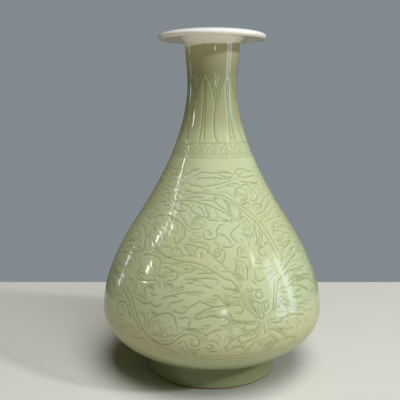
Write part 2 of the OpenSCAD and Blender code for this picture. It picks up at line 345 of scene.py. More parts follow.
bigFlower = [
    [(19.5, 93), (20.5, 89), (21.5, 86.5)],
    [(22, 91), (22.3, 88), (22.6, 86.5)],
    [(24, 91.5), (24, 88), (23.9, 86.8)],
    [(25.3, 93), (25.5, 89.5), (25, 87)],
    [(27.5, 92), (27, 88.5), (25.8, 86.3)],
    [(18.5, 95), (22, 94.5), (23, 93), (25, 93.5), (27.5, 94.3)],
    [(22.3, 114), (23, 111.5), (25, 110.3), (27, 111.3), (28, 112)],
    [(20.5, 112), (22, 109.5), (23, 107.5)],
    [(21, 104), (24.8, 104)],
    [(17.5, 101), (17.3, 97), (18.3, 93.5), (19.3, 90), (20.5, 87), (21.5, 85)],
    [(10, 118.5), (13, 116.5), (15, 114), (16, 112.5)],
    [(12.3, 121), (13, 118.5), (15, 116.5), (16.5, 114)],
    [(19.3, 121.5), (18.8, 118), (18.3, 114.5), (18, 112.5)],
    [(17.2, 106), (17, 103.5)],
    [(39.3, 111.5), (38, 109.8), (36.5, 108), (35.3, 105), (34.3, 102), (33.3, 99), (32.6, 96), (32, 93),
     (31.2, 90), (30.5, 87), (30, 84.8)],
    [(34, 109.5), (33, 106), (32.2, 102), (31.5, 98), (30.5, 93), (29.8, 89), (29, 86)],
    [(21, 75), (20, 73), (17.5, 71), (15, 69.6), (13, 68.8), (11, 67.5), (9, 65), (7.5, 62.5), (6.5, 60)],
    [(21, 68), (20, 66), (18, 64.3), (16, 63.3), (14, 62.3), (12.8, 61.5)],
    [(12.3, 66), (12.4, 63), (13, 61.7)],
    [(13, 74), (14.5, 75), (15, 76.5)],
    [(19.8, 62.5), (18, 59), (16.5, 56.5), (15, 53.5), (13.5, 52)],
    [(9, 57), (10, 58.5), (12, 59), (13.5, 58), (14.5, 56.5)],
    [(5.3, 60), (6, 58), (7, 56)],
    [(25, 50), (28, 55), (31, 60)],
    [(27, 50), (30, 55), (32.5, 59)],
    [(24.5, 72), (25, 69)],
    [(26.5, 71), (29, 70), (31.5, 67.5), (33.5, 65), (35.5, 62), (38, 59)],
    [(28, 64.8), (29.5, 62.5), (31, 59.5), (32.5, 57.3)],
    [(32, 70), (34.5, 67)],
    [(29, 76), (31, 75), (33.5, 74.2)],
    [(37.5, 78.2), (41, 78), (45, 76.8), (50, 74.6)],
    [(38.5, 67.5), (41, 66.8)],
]

rightLeaves = [
    [(30, 115), (32, 116), (34, 117.5)],
    [(41.5, 110.8), (43, 111.8), (45, 112.8)],
    [(42, 115), (44, 117), (47, 119), (51, 121.5)],
    [(48, 113), (55, 113)],
    [(41.5, 101), (44, 102.3), (46, 103), (48, 104.3), (52, 104.8), (57, 104)],
    [(46, 101), (50, 100.3), (53, 98.5), (56, 95.5), (59, 92.5)],
    [(46.5, 95), (49, 96.3), (51, 95.8)],
    [(44, 92.5), (47, 91.5), (50, 91)],
    [(34.5, 94), (35.5, 95.3), (37, 95), (37.5, 93.8)],
    [(34.5, 91.3), (36.5, 92), (38.5, 93.2)],
    [(31.5, 84.2), (34, 83.2), (36, 83.5)],
    [(36, 90), (38, 88.5), (41, 85.5), (44, 83.5), (47, 81.5)],
    [(38.5, 91), (41, 88.5)],
    [(48, 84.7), (50, 84.3), (52, 85.2), (53.5, 85.5)],
    [(52, 82.5), (54, 81.8)],
]

lowerLeft = [
    [(-53.5, 101.8), (-57, 105), (-62, 106.4), (-68, 107.1), (-74, 106.8)],
    [(-53, 96.3), (-55, 99), (-59, 101.8), (-64, 103), (-70, 103.3)],
    [(-50, 98.5), (-48, 96.5), (-45.5, 94), (-43.5, 91), (-42, 88), (-40.5, 84.5), (-39, 80.5),
     (-37.5, 76.5), (-36, 73), (-35, 70)],
    [(-52, 95.5), (-48, 91.2), (-45, 88.5), (-43.7, 85), (-42.5, 82), (-40.5, 77), (-38, 72),
     (-36.8, 68)],
    [(-31, 106.2), (-33, 105.5), (-35, 104), (-36, 102), (-36, 99.5), (-35.3, 97.5), (-34.5, 96)],
    [(-33.5, 102.8), (-31.5, 103.5), (-30.5, 102)],
    [(-32, 98.3), (-30, 97.8), (-28.5, 98.3)],
    [(-40, 91.8), (-38, 91), (-36, 89.7), (-34, 89.5), (-32.5, 90.3), (-31, 91.5), (-29.8, 90), (-28, 89),
     (-26.5, 89.6), (-25.3, 91)],
    [(-45, 112.5), (-42, 110.5), (-40, 108.3), (-37, 107), (-35, 107.8), (-33, 109), (-31.5, 109.8)],
    [(-45, 115), (-42, 113), (-39, 112)],
    [(-50, 105.5), (-48, 105.2), (-45, 105)],
    [(-54, 83), (-51, 84.5), (-48.5, 85.5), (-46.3, 84.3), (-45, 81.8), (-44.5, 79.5), (-43.5, 77),
     (-42.6, 74.5)],
    [(-36, 81.5), (-35, 80.5), (-33.5, 79), (-33, 76.5)],
    [(-44, 79.5), (-43, 77), (-42, 74.5)],
    [(-34, 66), (-31.5, 63.5), (-29.5, 61.3), (-27.5, 59), (-25, 57.8), (-22, 58.3), (-20, 59), (-18, 61),
     (-16, 64.4), (-14.5, 66.6), (-13, 68.6), (-11.5, 69.4), (-9, 69.5), (-7.3, 68.8), (-6.2, 67.2),
     (-5.8, 65.2), (-5.8, 63), (-6.3, 61), (-7.4, 60), (-8.8, 60.1), (-9.5, 61.4), (-9.2, 62.8)],
    [(-13, 72.8), (-10, 73.8), (-7, 73), (-5, 72), (-3.5, 70.5), (-2.5, 69.8), (-1.5, 71), (0, 72.8),
     (2, 74), (5, 74.5)],
    [(-1.5, 65), (0, 65), (2, 63.5), (2.5, 61.5)],
    [(-3.5, 59), (-2.5, 57.8), (-0.5, 58), (0.3, 60), (-0.5, 61.5), (-2, 61.8)],
    [(-1.5, 55.2), (1.5, 55.5)],
    [(-9, 53.5), (-7.5, 51), (-5, 50)],
]

upperVeins = [
    [(-40, 200.5), (-37, 200.3)],
    [(-36, 199.5), (-35, 198), (-34, 197.2)],
    [(-28, 188.8), (-25, 188.3), (-22, 187.6)],
    [(-34, 180.3), (-31.5, 179.5), (-29.5, 178.6), (-27.5, 177.5)],
    [(-27, 178.5), (-23, 179), (-19.5, 179.6), (-15, 179.8)],
    [(-25, 176.5), (-20, 177.3), (-15, 178), (-10, 178.5)],
    [(-22, 175.8), (-18, 176.6), (-13, 177), (-8, 177.2)],
    [(-18.7, 172.3), (-17.5, 172.1), (-16.6, 171.2), (-16.5, 170)],
    [(-11, 173), (-10.8, 171.5), (-10.8, 170.3)],
    [(-31.5, 171.5), (-29, 170.5), (-27, 168.8), (-25.5, 167.2)],
    [(-30, 163), (-28.5, 162.2), (-27.5, 161.3)],
    [(22, 194.6), (24, 196.3), (26.5, 197), (28, 196)],
    [(25, 191.8), (27.5, 192.5), (30, 193.7), (31.5, 195)],
    [(26, 198.3), (28.5, 197), (31, 195.6), (33, 196.2), (35, 197.7)],
    [(3.5, 184.5), (6, 184.8), (9, 185.5), (11, 186.3)],
    [(18, 186.3), (20, 186), (22, 186.5)],
    [(26, 173.5), (28.5, 174), (30, 173.2)],
    [(25.5, 172), (28, 172), (30.5, 172.6)],
    [(33, 171), (34, 172.3), (35.5, 174), (37, 174.7)],
    [(36.5, 168), (37.3, 169.5), (38.5, 170.5)],
    [(30.5, 167.8), (32, 167.8), (34, 168.5)],
    [(33, 183.5), (34.5, 182.3), (36, 183.3)],
    [(37.5, 183), (38.5, 181.5), (38, 180)],
    [(33, 181), (33.5, 179.5)],
    [(11, 182), (14, 181), (16.5, 179.5), (18.5, 177.8)],
    [(6.5, 182), (8.5, 181.5), (10, 180.8)],
    [(23.5, 182), (23.2, 180), (23.5, 178)],
    [(25, 182.5), (24.7, 180.5), (25, 178.5)],
]

spiralTurns = [
    [(-19.5, 153.5), (-18.8, 151.8), (-17, 150.4), (-15, 150)],
    [(-28.5, 155.8), (-26.8, 154), (-25.3, 152), (-24.5, 150)],
    [(-29, 159), (-26.5, 157.5), (-24.5, 156.2), (-23, 155)],
    [(-23, 154), (-21.6, 151), (-20.9, 147.5), (-21.3, 144.5), (-22.6, 142)],
    [(-28.5, 148.2), (-27, 147.8), (-25.5, 147.7), (-24, 147.8)],
    [(-38.5, 150.3), (-36, 149), (-34, 147.5)],
    [(-34.5, 151.5), (-32.5, 150.5), (-30.5, 149.7)],
    [(-39, 133.3), (-37, 132.8), (-35.5, 131.5)],
    [(-27, 136.8), (-26, 135.5), (-25.5, 133.5)],
    [(-24.5, 135.5), (-24.2, 133)],
    [(-22.3, 134.8), (-21.8, 132.8)],
    [(-15.5, 138), (-14.5, 136.5), (-13, 135.3), (-12, 135)],
    [(-14.5, 138.5), (-12.8, 137.5), (-11.8, 136)],
    [(-15, 144.5), (-12, 143.8), (-9, 144)],
    [(-14, 149.4), (-11, 148.8), (-8.3, 148.6)],
    [(-14, 147.6), (-11, 146.4), (-8, 145.7), (-6.3, 146)],
    [(-13.3, 155), (-13.6, 157), (-12.3, 158.6), (-10, 159.3), (-7.5, 159.3), (-5.5, 158)],
    [(-12, 155), (-11.8, 156.8), (-10.5, 157.6)],
    [(-3.5, 151.5), (-2.5, 150.6), (-1.5, 151.2)],
    [(-3, 148.5), (-1.5, 147.5), (-0.5, 148.5)],
    [(-2.3, 138.8), (-2.4, 136.5), (-3, 134.3)],
    [(20.6, 155.6), (23, 155.5), (25, 154.2), (26, 152), (25.8, 150)],
    [(21.2, 151.2), (22.3, 152.9), (23.8, 152.2), (23.9, 150.5)],
    [(20, 147.2), (21.5, 146), (23, 144.6), (25, 144), (27.5, 144.5), (29.5, 146)],
    [(21, 149.5), (22, 148), (23.3, 147.2)],
    [(26.5, 149.5), (27.5, 151), (28.2, 153), (28.5, 155.2)],
    [(22.5, 158), (24, 157.5), (25.5, 156.5)],
    [(18.6, 144), (19.6, 143.2), (19.3, 142)],
    [(16.5, 132.5), (17, 135), (18.5, 136.5), (20.3, 136.3)],
    [(17.8, 133.5), (18.5, 134.8), (19.5, 134.5), (19.5, 133.3)],
    [(22.8, 142.5), (23.6, 141), (23, 139), (22.5, 137.8)],
    [(29, 138), (30.5, 136.3), (31.5, 136.8)],
    [(33, 136), (34.3, 137.2), (35, 138.5), (37, 138.8)],
    [(3.5, 161.8), (5.5, 161), (7, 160)],
    [(9, 160), (11, 159.2), (12.7, 158.6)],
    [(15.5, 163.5), (15.7, 161.5), (14.8, 160)],
    [(16, 158), (17, 159.6), (17.6, 158.3)],
    [(4.5, 149), (6, 148.3), (7.5, 147.5)],
]

wingVeins = [
    [(-29, 123.5), (-25, 124), (-21, 123.2), (-18, 122.8), (-15, 121.8), (-12.5, 121.3)],
    [(-27, 128.8), (-22, 130), (-17, 131), (-12, 131.2)],
    [(-22, 125.2), (-18, 125), (-14, 124.2), (-10, 123.2), (-6, 121.5), (-3, 120.3)],
    [(-24, 104), (-24.2, 106), (-23, 107.4), (-21.2, 107.2), (-20.4, 105.6), (-20.8, 104)],
    [(-23, 105.3), (-22.2, 106), (-21.7, 105.2)],
    [(-30, 121.5), (-29.6, 119), (-30, 116.5), (-31.5, 115)],
    [(-29, 112.5), (-27, 111.5), (-25.6, 109.8), (-25.2, 107.5)],
    [(-31, 110), (-29.5, 108), (-28.5, 106), (-27.5, 104.5)],
    [(-34, 103.5), (-32.5, 104.2), (-31, 103.8)],
    [(-33.5, 101.5), (-32.5, 102.8), (-31.3, 102.5), (-30.7, 101.3), (-31.5, 100.5)],
    [(-37.5, 97), (-36.2, 95), (-34.5, 93.5)],
    [(-40, 95.5), (-37, 94.2), (-35, 93)],
    [(-39, 104.5), (-38, 102.5), (-37.5, 100)],
    [(-41.8, 93), (-41.6, 98), (-42.2, 103), (-43.5, 107)],
    [(-12, 101.5), (-8, 102), (-6.5, 101)],
    [(-2.2, 99), (-2.2, 97.6), (-1, 96.6), (1.5, 96)],
    [(-15.7, 110.5), (-15.8, 108.5), (-14.8, 107.3)],
    [(-27, 116.5), (-23, 117.5), (-20.5, 117.8)],
    [(-26.5, 115), (-23, 115), (-20, 114.3)],
    [(-22, 101.5), (-20, 103), (-17, 104.2), (-15, 104.8)],
    [(-24, 98), (-20, 99), (-17, 99.5)],
    [(1.5, 123.8), (2.3, 121.8)],
    [(4.5, 119.5), (7, 119.7), (9.5, 119.6), (11, 119.2)],
    [(12.5, 128.5), (14, 128), (16, 126.8), (17.5, 126), (18.3, 124.8)],
    [(16, 124.3), (16.4, 121), (16.8, 118)],
    [(14, 125.2), (14.2, 122.5), (14.6, 120)],
    [(23.3, 119), (23, 116), (23.4, 113.8), (24.3, 112.3)],
    [(10.5, 117.5), (11.5, 115.5), (13, 113), (14, 110.5), (14.2, 107.5)],
    [(12, 115.5), (13.8, 113.8), (14.8, 112)],
    [(11, 111.5), (12.3, 109), (13.2, 106.5)],
    [(15.3, 104), (15.5, 100), (16.2, 96), (17.3, 92), (18.5, 88.5)],
    [(5.6, 101.5), (6.5, 102), (7.5, 101)],
    [(5.5, 99.5), (6.5, 97), (7.5, 95.8), (8.7, 96.5)],
    [(8, 101.5), (9.5, 100.5), (11, 100)],
    [(6.2, 100.2), (7.3, 98.6)],
    [(7.3, 100.8), (8.4, 99.2)],
    [(6.6, 98.2), (7.6, 97)],
    [(10, 104.5), (13, 104.3)],
    [(10, 102.8), (12.5, 102.5)],
    [(10.5, 97.3), (13.5, 97)],
    [(9, 96.3), (11, 95.5), (13.3, 95.8)],
    [(31, 113), (33, 115), (35.5, 116.5)],
    [(32, 110.5), (34, 112.8), (36, 114)],
    [(26, 119.8), (29, 119.5), (32, 119.8), (36, 120.5)],
    [(36.3, 125.8), (37.3, 127)],
    [(25.5, 126.5), (27.5, 127), (28.5, 126)],
    [(24.5, 124.5), (27.5, 124), (28.5, 123)],
    [(35.5, 101.5), (37.5, 101.8), (40, 101.5)],
    [(35.5, 99.5), (38, 98.5), (40, 97.5)],
    [(20.6, 127), (21.3, 124.5), (20.3, 122)],
]

lowerTurns = [
    [(-30.2, 71.5), (-30.3, 75), (-29.5, 78.5), (-28, 80.5), (-26, 81.2)],
    [(-28.6, 71.8), (-28.8, 74), (-28, 76.5), (-26.5, 77.8), (-24.8, 77.5), (-23.6, 76)],
    [(-27.5, 74.8), (-26, 75.3), (-25, 74.3), (-24.3, 72), (-24.3, 69.5), (-24.3, 67)],
    [(-27.8, 66.8), (-26, 66.8), (-25, 67.8)],
    [(-23, 72.5), (-22.8, 69.5), (-23.5, 66.5)],
    [(-21.5, 72.5), (-21.8, 70), (-21, 67.5), (-19.5, 67.5), (-17.5, 68)],
    [(-20.2, 74.5), (-19, 74.8), (-18.5, 73.5), (-18.6, 72)],
    [(-34.2, 82), (-33.8, 79), (-33.2, 76), (-33, 73)],
    [(-32, 83.5), (-31.8, 80)],
    [(-31.2, 78), (-31.5, 75), (-31, 72)],
    [(-38, 80.5), (-37.5, 78), (-37, 76)],
    [(-39, 66), (-37.5, 63.5), (-36.5, 62)],
    [(-35.5, 70.5), (-34.5, 68.5), (-33.8, 66.8)],
    [(-36, 66), (-34, 68.5), (-32.5, 71)],
    [(-29, 64.8), (-26, 65), (-23, 64.8), (-20, 65.5), (-17, 67), (-15, 69.5), (-13, 72)],
    [(-24.5, 61.5), (-22, 61.8), (-19.5, 62.3), (-18, 63.5)],
    [(-15, 74.5), (-12, 75), (-9, 75), (-5, 75), (-2.5, 74.8)],
    [(-10, 72.3), (-7, 71.5), (-5.5, 69.8), (-4.9, 67.5), (-4.6, 65), (-4.4, 62.8)],
    [(-12, 62.8), (-11.8, 60), (-11, 57.5), (-9.3, 56), (-7, 56), (-5.5, 57.5)],
    [(-10.6, 64), (-10, 65.2), (-8.8, 65.9), (-7.4, 65.7)],
    [(-16, 60), (-14.5, 62), (-13, 63)],
    [(-15, 57.5), (-13.5, 56), (-12, 55)],
    [(-13, 53.5), (-10, 54), (-7, 53.5)],
    [(-8, 82.8), (-6, 83.5), (-4.5, 84)],
    [(-2, 76.5), (-2.2, 74.5)],
    [(-9.5, 83), (-7, 85), (-4.5, 87), (-2, 88.5), (1, 89.5)],
    [(-2, 85.8), (0, 86), (2, 86)],
    [(-30, 85), (-28.5, 84.5), (-27, 83)],
    [(-29.5, 61.5), (-26, 59.8), (-24, 56), (-20, 53.2), (-15, 51.5)],
]

flowerVeins = [
    [(5, 74.7), (7.5, 76), (8.3, 77.5)],
    [(8.7, 80.3), (9.8, 80.8)],
    [(10, 78), (11, 76.5)],
    [(12.5, 73.5), (15.5, 73)],
    [(13, 71.8), (16, 72), (18.5, 73)],
    [(20.5, 72), (18.5, 69.5), (16, 68.3), (14.5, 68)],
    [(20.5, 70.5), (19, 68.5), (17.5, 67.3)],
    [(13, 61.5), (14, 59.5), (14.3, 57.5)],
    [(5.5, 66.5), (5.4, 64)],
    [(2.5, 69.5), (3, 67.5), (3.6, 66)],
    [(1.5, 71), (2.3, 70)],
    [(20.5, 61.5), (22, 59), (23.5, 57.3), (24.8, 57.5), (26.5, 59.8), (28, 61)],
    [(20.3, 63), (22, 61.5), (23.5, 60.3), (25, 61), (27, 63), (28, 64)],
    [(20.8, 64.8), (22.5, 63.5), (24, 63), (25.5, 64.3), (26.5, 65)],
    [(26, 68.5), (28, 66), (29.5, 63.5), (31, 60.5), (32, 58.5)],
    [(29.5, 71.5), (32, 70), (35, 68.5), (37, 67), (38, 66)],
    [(33, 67.5), (35, 65.5), (37, 63)],
    [(28.5, 77), (30.5, 75.6), (33, 75.3), (35, 76)],
    [(27.5, 79.5), (30, 78.5), (33, 78), (36.5, 77.5), (38.5, 77.8)],
    [(33.5, 90.3), (36, 89), (38.5, 87)],
    [(29.8, 88), (30, 85.5)],
    [(36.7, 74), (38, 72.5), (38.3, 71)],
    [(21, 79.5), (21.8, 77), (22.2, 74.5)],
    [(22.3, 79.3), (23, 76.5), (23.2, 73.5)],
    [(24, 79.3), (24.4, 76), (24.6, 73)],
    [(25.5, 79), (26.5, 76), (27, 73.5)],
    [(22.7, 72.5), (22, 70), (21.5, 68)],
    [(24, 73), (24.5, 70.5), (24.3, 68)],
    [(25, 56.5), (27, 58.5), (29, 61)],
]

innerCuts = [
    [(2, 192.3), (3.5, 191.3), (4.5, 190.3)],
    [(0, 175.3), (2.5, 175.6), (4, 176.2), (5.5, 177), (7, 177.1), (8.5, 176.4)],
    [(11.3, 171.2), (12.2, 169.5), (13, 167.5), (13.8, 165.5)],
    [(22.3, 167), (21.8, 164.8), (21.2, 162.8), (20.3, 161)],
    [(2.5, 166), (3.3, 164.5), (3.3, 162.5), (2.8, 161)],
    [(16, 170.5), (17, 170), (18, 169)],
    [(22.5, 159.3), (23.3, 157.8), (24.5, 157)],
    [(-15.8, 192.5), (-14.5, 193.6), (-14, 194.3)],
    [(-32.8, 182), (-31.5, 181.5)],
    [(-9, 182.8), (-6, 183), (-3, 182.6)],
    [(-18.5, 164), (-17.3, 162.5), (-17, 161)],
    [(-5.8, 157.5), (-5.6, 155), (-6, 152.5)],
    [(-34, 160), (-32, 158), (-30.3, 156)],
    [(-36, 158.5), (-34, 156.8), (-32.5, 155)],
    [(-24.8, 157.5), (-23.3, 155.5), (-22.5, 153)],
    [(-29.5, 127.2), (-28.3, 126.7)],
    [(-20.5, 118.5), (-19, 118.3), (-17.5, 117.5), (-16.5, 116.5)],
    [(-28.5, 110.3), (-28, 108.8), (-27.6, 107), (-27.5, 105.5)],
    [(-10, 112.5), (-7.5, 112.3), (-6, 112.5)],
    [(8.8, 81.2), (9.6, 79.8), (10, 78.2), (10.4, 77)],
    [(7.3, 76), (7.6, 73.5), (7.3, 71)],
    [(8.7, 76.5), (8.7, 74), (8.5, 71.5)],
    [(6.5, 68.8), (8, 68.3), (10, 68.6)],
    [(6.5, 66.8), (8, 66.2), (9.5, 66.6)],
    [(7, 64.7), (8.3, 64.2), (9.5, 64.6)],
    [(11.5, 77), (12.7, 76.3)],
    [(26.3, 82), (27.5, 83), (28.3, 84.3)],
    [(20.6, 83.5), (20.3, 81.8), (20.6, 80)],
    [(35.8, 69.2), (36.8, 67.8), (37.3, 66.3)],
    [(26.5, 56.2), (28, 57.8), (29.5, 59.3)],
    [(27.7, 55.3), (29.2, 56.8), (30.5, 58.2)],
    [(13.4, 172), (13.2, 169.5), (13.7, 167), (14.4, 165)],
    [(8, 199.3), (12, 199.2), (16, 198.6), (20, 198)],
    [(-25.5, 199.5), (-24, 200.6), (-21, 201.2), (-16, 201)],
    [(-33.5, 186), (-32.5, 185), (-31.2, 185.6), (-30.6, 187)],
    [(-35, 177.5), (-33.5, 176), (-32, 175.2)],
    [(-14.5, 160.6), (-12.5, 161.4), (-10.5, 161.8)],
    [(14.2, 160), (14.2, 157.5)],
    [(18.6, 160.2), (18.8, 158)],
    [(-16.6, 76), (-16.3, 73.5), (-16.6, 72)],
    [(-3.6, 69), (-3.8, 66.5), (-3.5, 64.5)],
    [(-2.6, 69), (-2.7, 66.5), (-2.5, 64.5)],
    [(11, 67.5), (11.3, 65), (10.6, 62.5)],
    [(8.8, 58.5), (9.3, 59.7), (10.5, 60)],
    [(26.5, 79.5), (27.8, 77.5), (28.3, 75.5)],
    [(21, 76.5), (21.5, 74), (21.2, 71.5)],
    [(24.5, 55), (26.5, 57), (28, 58.8)],
    [(26, 53), (28, 55.3)],
    [(45, 139.2), (47, 139), (49.5, 138.5), (53, 138.6)],
    [(47, 136.4), (51, 135.9), (56, 135.6), (60, 135.6)],
    [(46.5, 131), (49, 131.5), (53, 132.5), (58, 133.2)],
    [(50.5, 126.2), (53, 128), (56, 129.3), (60, 130.3)],
    [(51, 121.5), (53.5, 123.2), (56, 124.2), (59, 124.6)],
    [(43, 121.5), (44.5, 124), (45, 127)],
    [(43, 113), (45, 113.6), (48, 113.6), (51, 113)],
    [(56, 114), (58, 113), (60, 113.2)],
    [(43.5, 105.5), (45.5, 107), (47, 108.2), (49, 108.8), (52, 108.6)],
    [(50, 97.3), (53, 96.8), (55.5, 94.8), (57.5, 92.3)],
    [(40, 89.3), (42, 88), (44, 86.5), (46.5, 85.5), (49, 85.2)],
    [(50, 91.2), (51.5, 89.5), (52.5, 87.3)],
    [(46.5, 83.3), (49, 81.5), (51.5, 79)],
    [(35, 90), (37, 89.5), (38.5, 88.3), (40, 86)],
    [(38, 60.3), (40, 59), (42.5, 57.3), (45, 55.5)],
    [(40.5, 53.5), (41.5, 51.3), (42.5, 49.8)],
    [(42.5, 55), (44, 52.8), (45.5, 51)],
    [(-49.5, 144.2), (-47.5, 143.5), (-45.5, 143)],
    [(-48.5, 141.8), (-46.5, 141), (-45, 140.5)],
    [(-44, 141.3), (-42.5, 140.8), (-41.5, 140.3)],
    [(-41.5, 131.3), (-39.5, 131), (-37.5, 130.2)],
    [(-55.8, 118.6), (-54, 118), (-52.5, 116.8)],
    [(-54.3, 114.6), (-53.8, 113), (-52.5, 112.2)],
    [(-45.5, 110), (-44, 108.7), (-42, 107.3), (-40, 106.3)],
    [(-32.5, 109.3), (-31.3, 108.8), (-30.5, 108.9)],
    [(32.5, 174.6), (33.8, 175.5), (34.8, 177.5), (35.2, 179.8)],
    [(39, 180), (39.3, 178), (39, 176)],
    [(38.6, 168.2), (39.5, 167.2), (40.8, 166.8)],
]

sideCuts = [
    [(-62, 200.3), (-57, 200), (-52, 199.3), (-48, 200), (-44, 199.4), (-42, 199)],
    [(-42, 200.2), (-40, 200.6), (-38, 200.5), (-36.5, 199.7), (-35.3, 198.3)],
    [(-58, 191.8), (-55.5, 191.6), (-53, 193.3), (-50, 194.2), (-47, 194.8), (-44, 194.6), (-42, 194),
     (-40.5, 193.6)],
    [(-44, 191), (-42, 190.8), (-40.5, 191.5), (-39, 192.3)],
    [(-43, 187), (-41, 187), (-39, 187.8), (-37, 187.2)],
    [(-50, 178), (-47, 178.5), (-44, 178.2), (-42, 179), (-41, 180.3), (-38.5, 181.2)],
    [(-36, 167.5), (-34, 167.4), (-32, 166.8), (-31, 166)],
    [(-58, 127), (-54, 127.5), (-51, 128.5), (-48, 129)],
    [(-55, 126.2), (-52, 126.3), (-50, 127), (-48, 127.8), (-46.5, 129)],
    [(-57, 124.3), (-55, 124), (-52, 123.5), (-50.5, 122), (-49, 120.5), (-47.8, 119)],
    [(-44, 118.5), (-43, 117), (-42, 116.2), (-41, 115.8)],
    [(-39, 123.8), (-37.8, 122.5), (-36.8, 121), (-36, 119.3), (-35, 117.8), (-34.5, 116.5)],
    [(-34.8, 120.5), (-33.5, 119.8), (-32.5, 119), (-32, 117.5), (-32.5, 116)],
    [(-46, 148.8), (-44.5, 147.8), (-43, 146.5)],
    [(-35, 150), (-34, 148.7), (-33.3, 147.6)],
    [(-40, 133.3), (-38, 132.9), (-36.5, 132), (-35, 131), (-33, 130.5)],
    [(-33.5, 113), (-32, 112.5), (-31, 112)],
    [(-51.5, 61.8), (-50, 62.5), (-48, 63.3), (-46, 64.5)],
    [(46.5, 186.3), (48.5, 186.8), (50, 187.3)],
    [(45.5, 183), (47, 183.5), (49, 184.3)],
    [(46.5, 146), (50, 146), (53.5, 145.4), (55.5, 144.4), (55.8, 143), (54.5, 141.8), (52, 141.2),
     (49.5, 141.6), (48.3, 143)],
    [(51.5, 148.7), (53.5, 148.3), (55.5, 148), (57.2, 147)],
    [(-50.8, 80), (-50, 81.2), (-48.8, 81.3), (-48, 80.3), (-48.4, 79)],
    [(-54.2, 81.5), (-54.3, 79.5), (-53.7, 77.5), (-52.4, 76.2)],
    [(-49, 73.4), (-47.9, 74.8), (-47.4, 76.8), (-46.6, 78.6)],
    [(45.5, 134.7), (49, 134), (52, 133.5)],
    [(43, 74.5), (44.5, 72.8), (46, 70.5), (48, 68.3)],
    [(50, 152), (54, 152.3), (58, 151)],
    [(37.5, 165), (39, 164.6)],
    [(52, 124.6), (55, 127), (57.5, 128.9), (61, 129.4), (65, 128.8)],
    [(57, 124.2), (60, 125), (64, 125), (67, 124.7)],
    [(56.3, 119.2), (58, 119.2), (60, 118), (61.5, 116.8)],
    [(54, 110.8), (57, 111.7), (60, 112), (63, 111.9)],
    [(50, 105.4), (54, 105.3), (58, 104.6), (61, 103.3)],
]

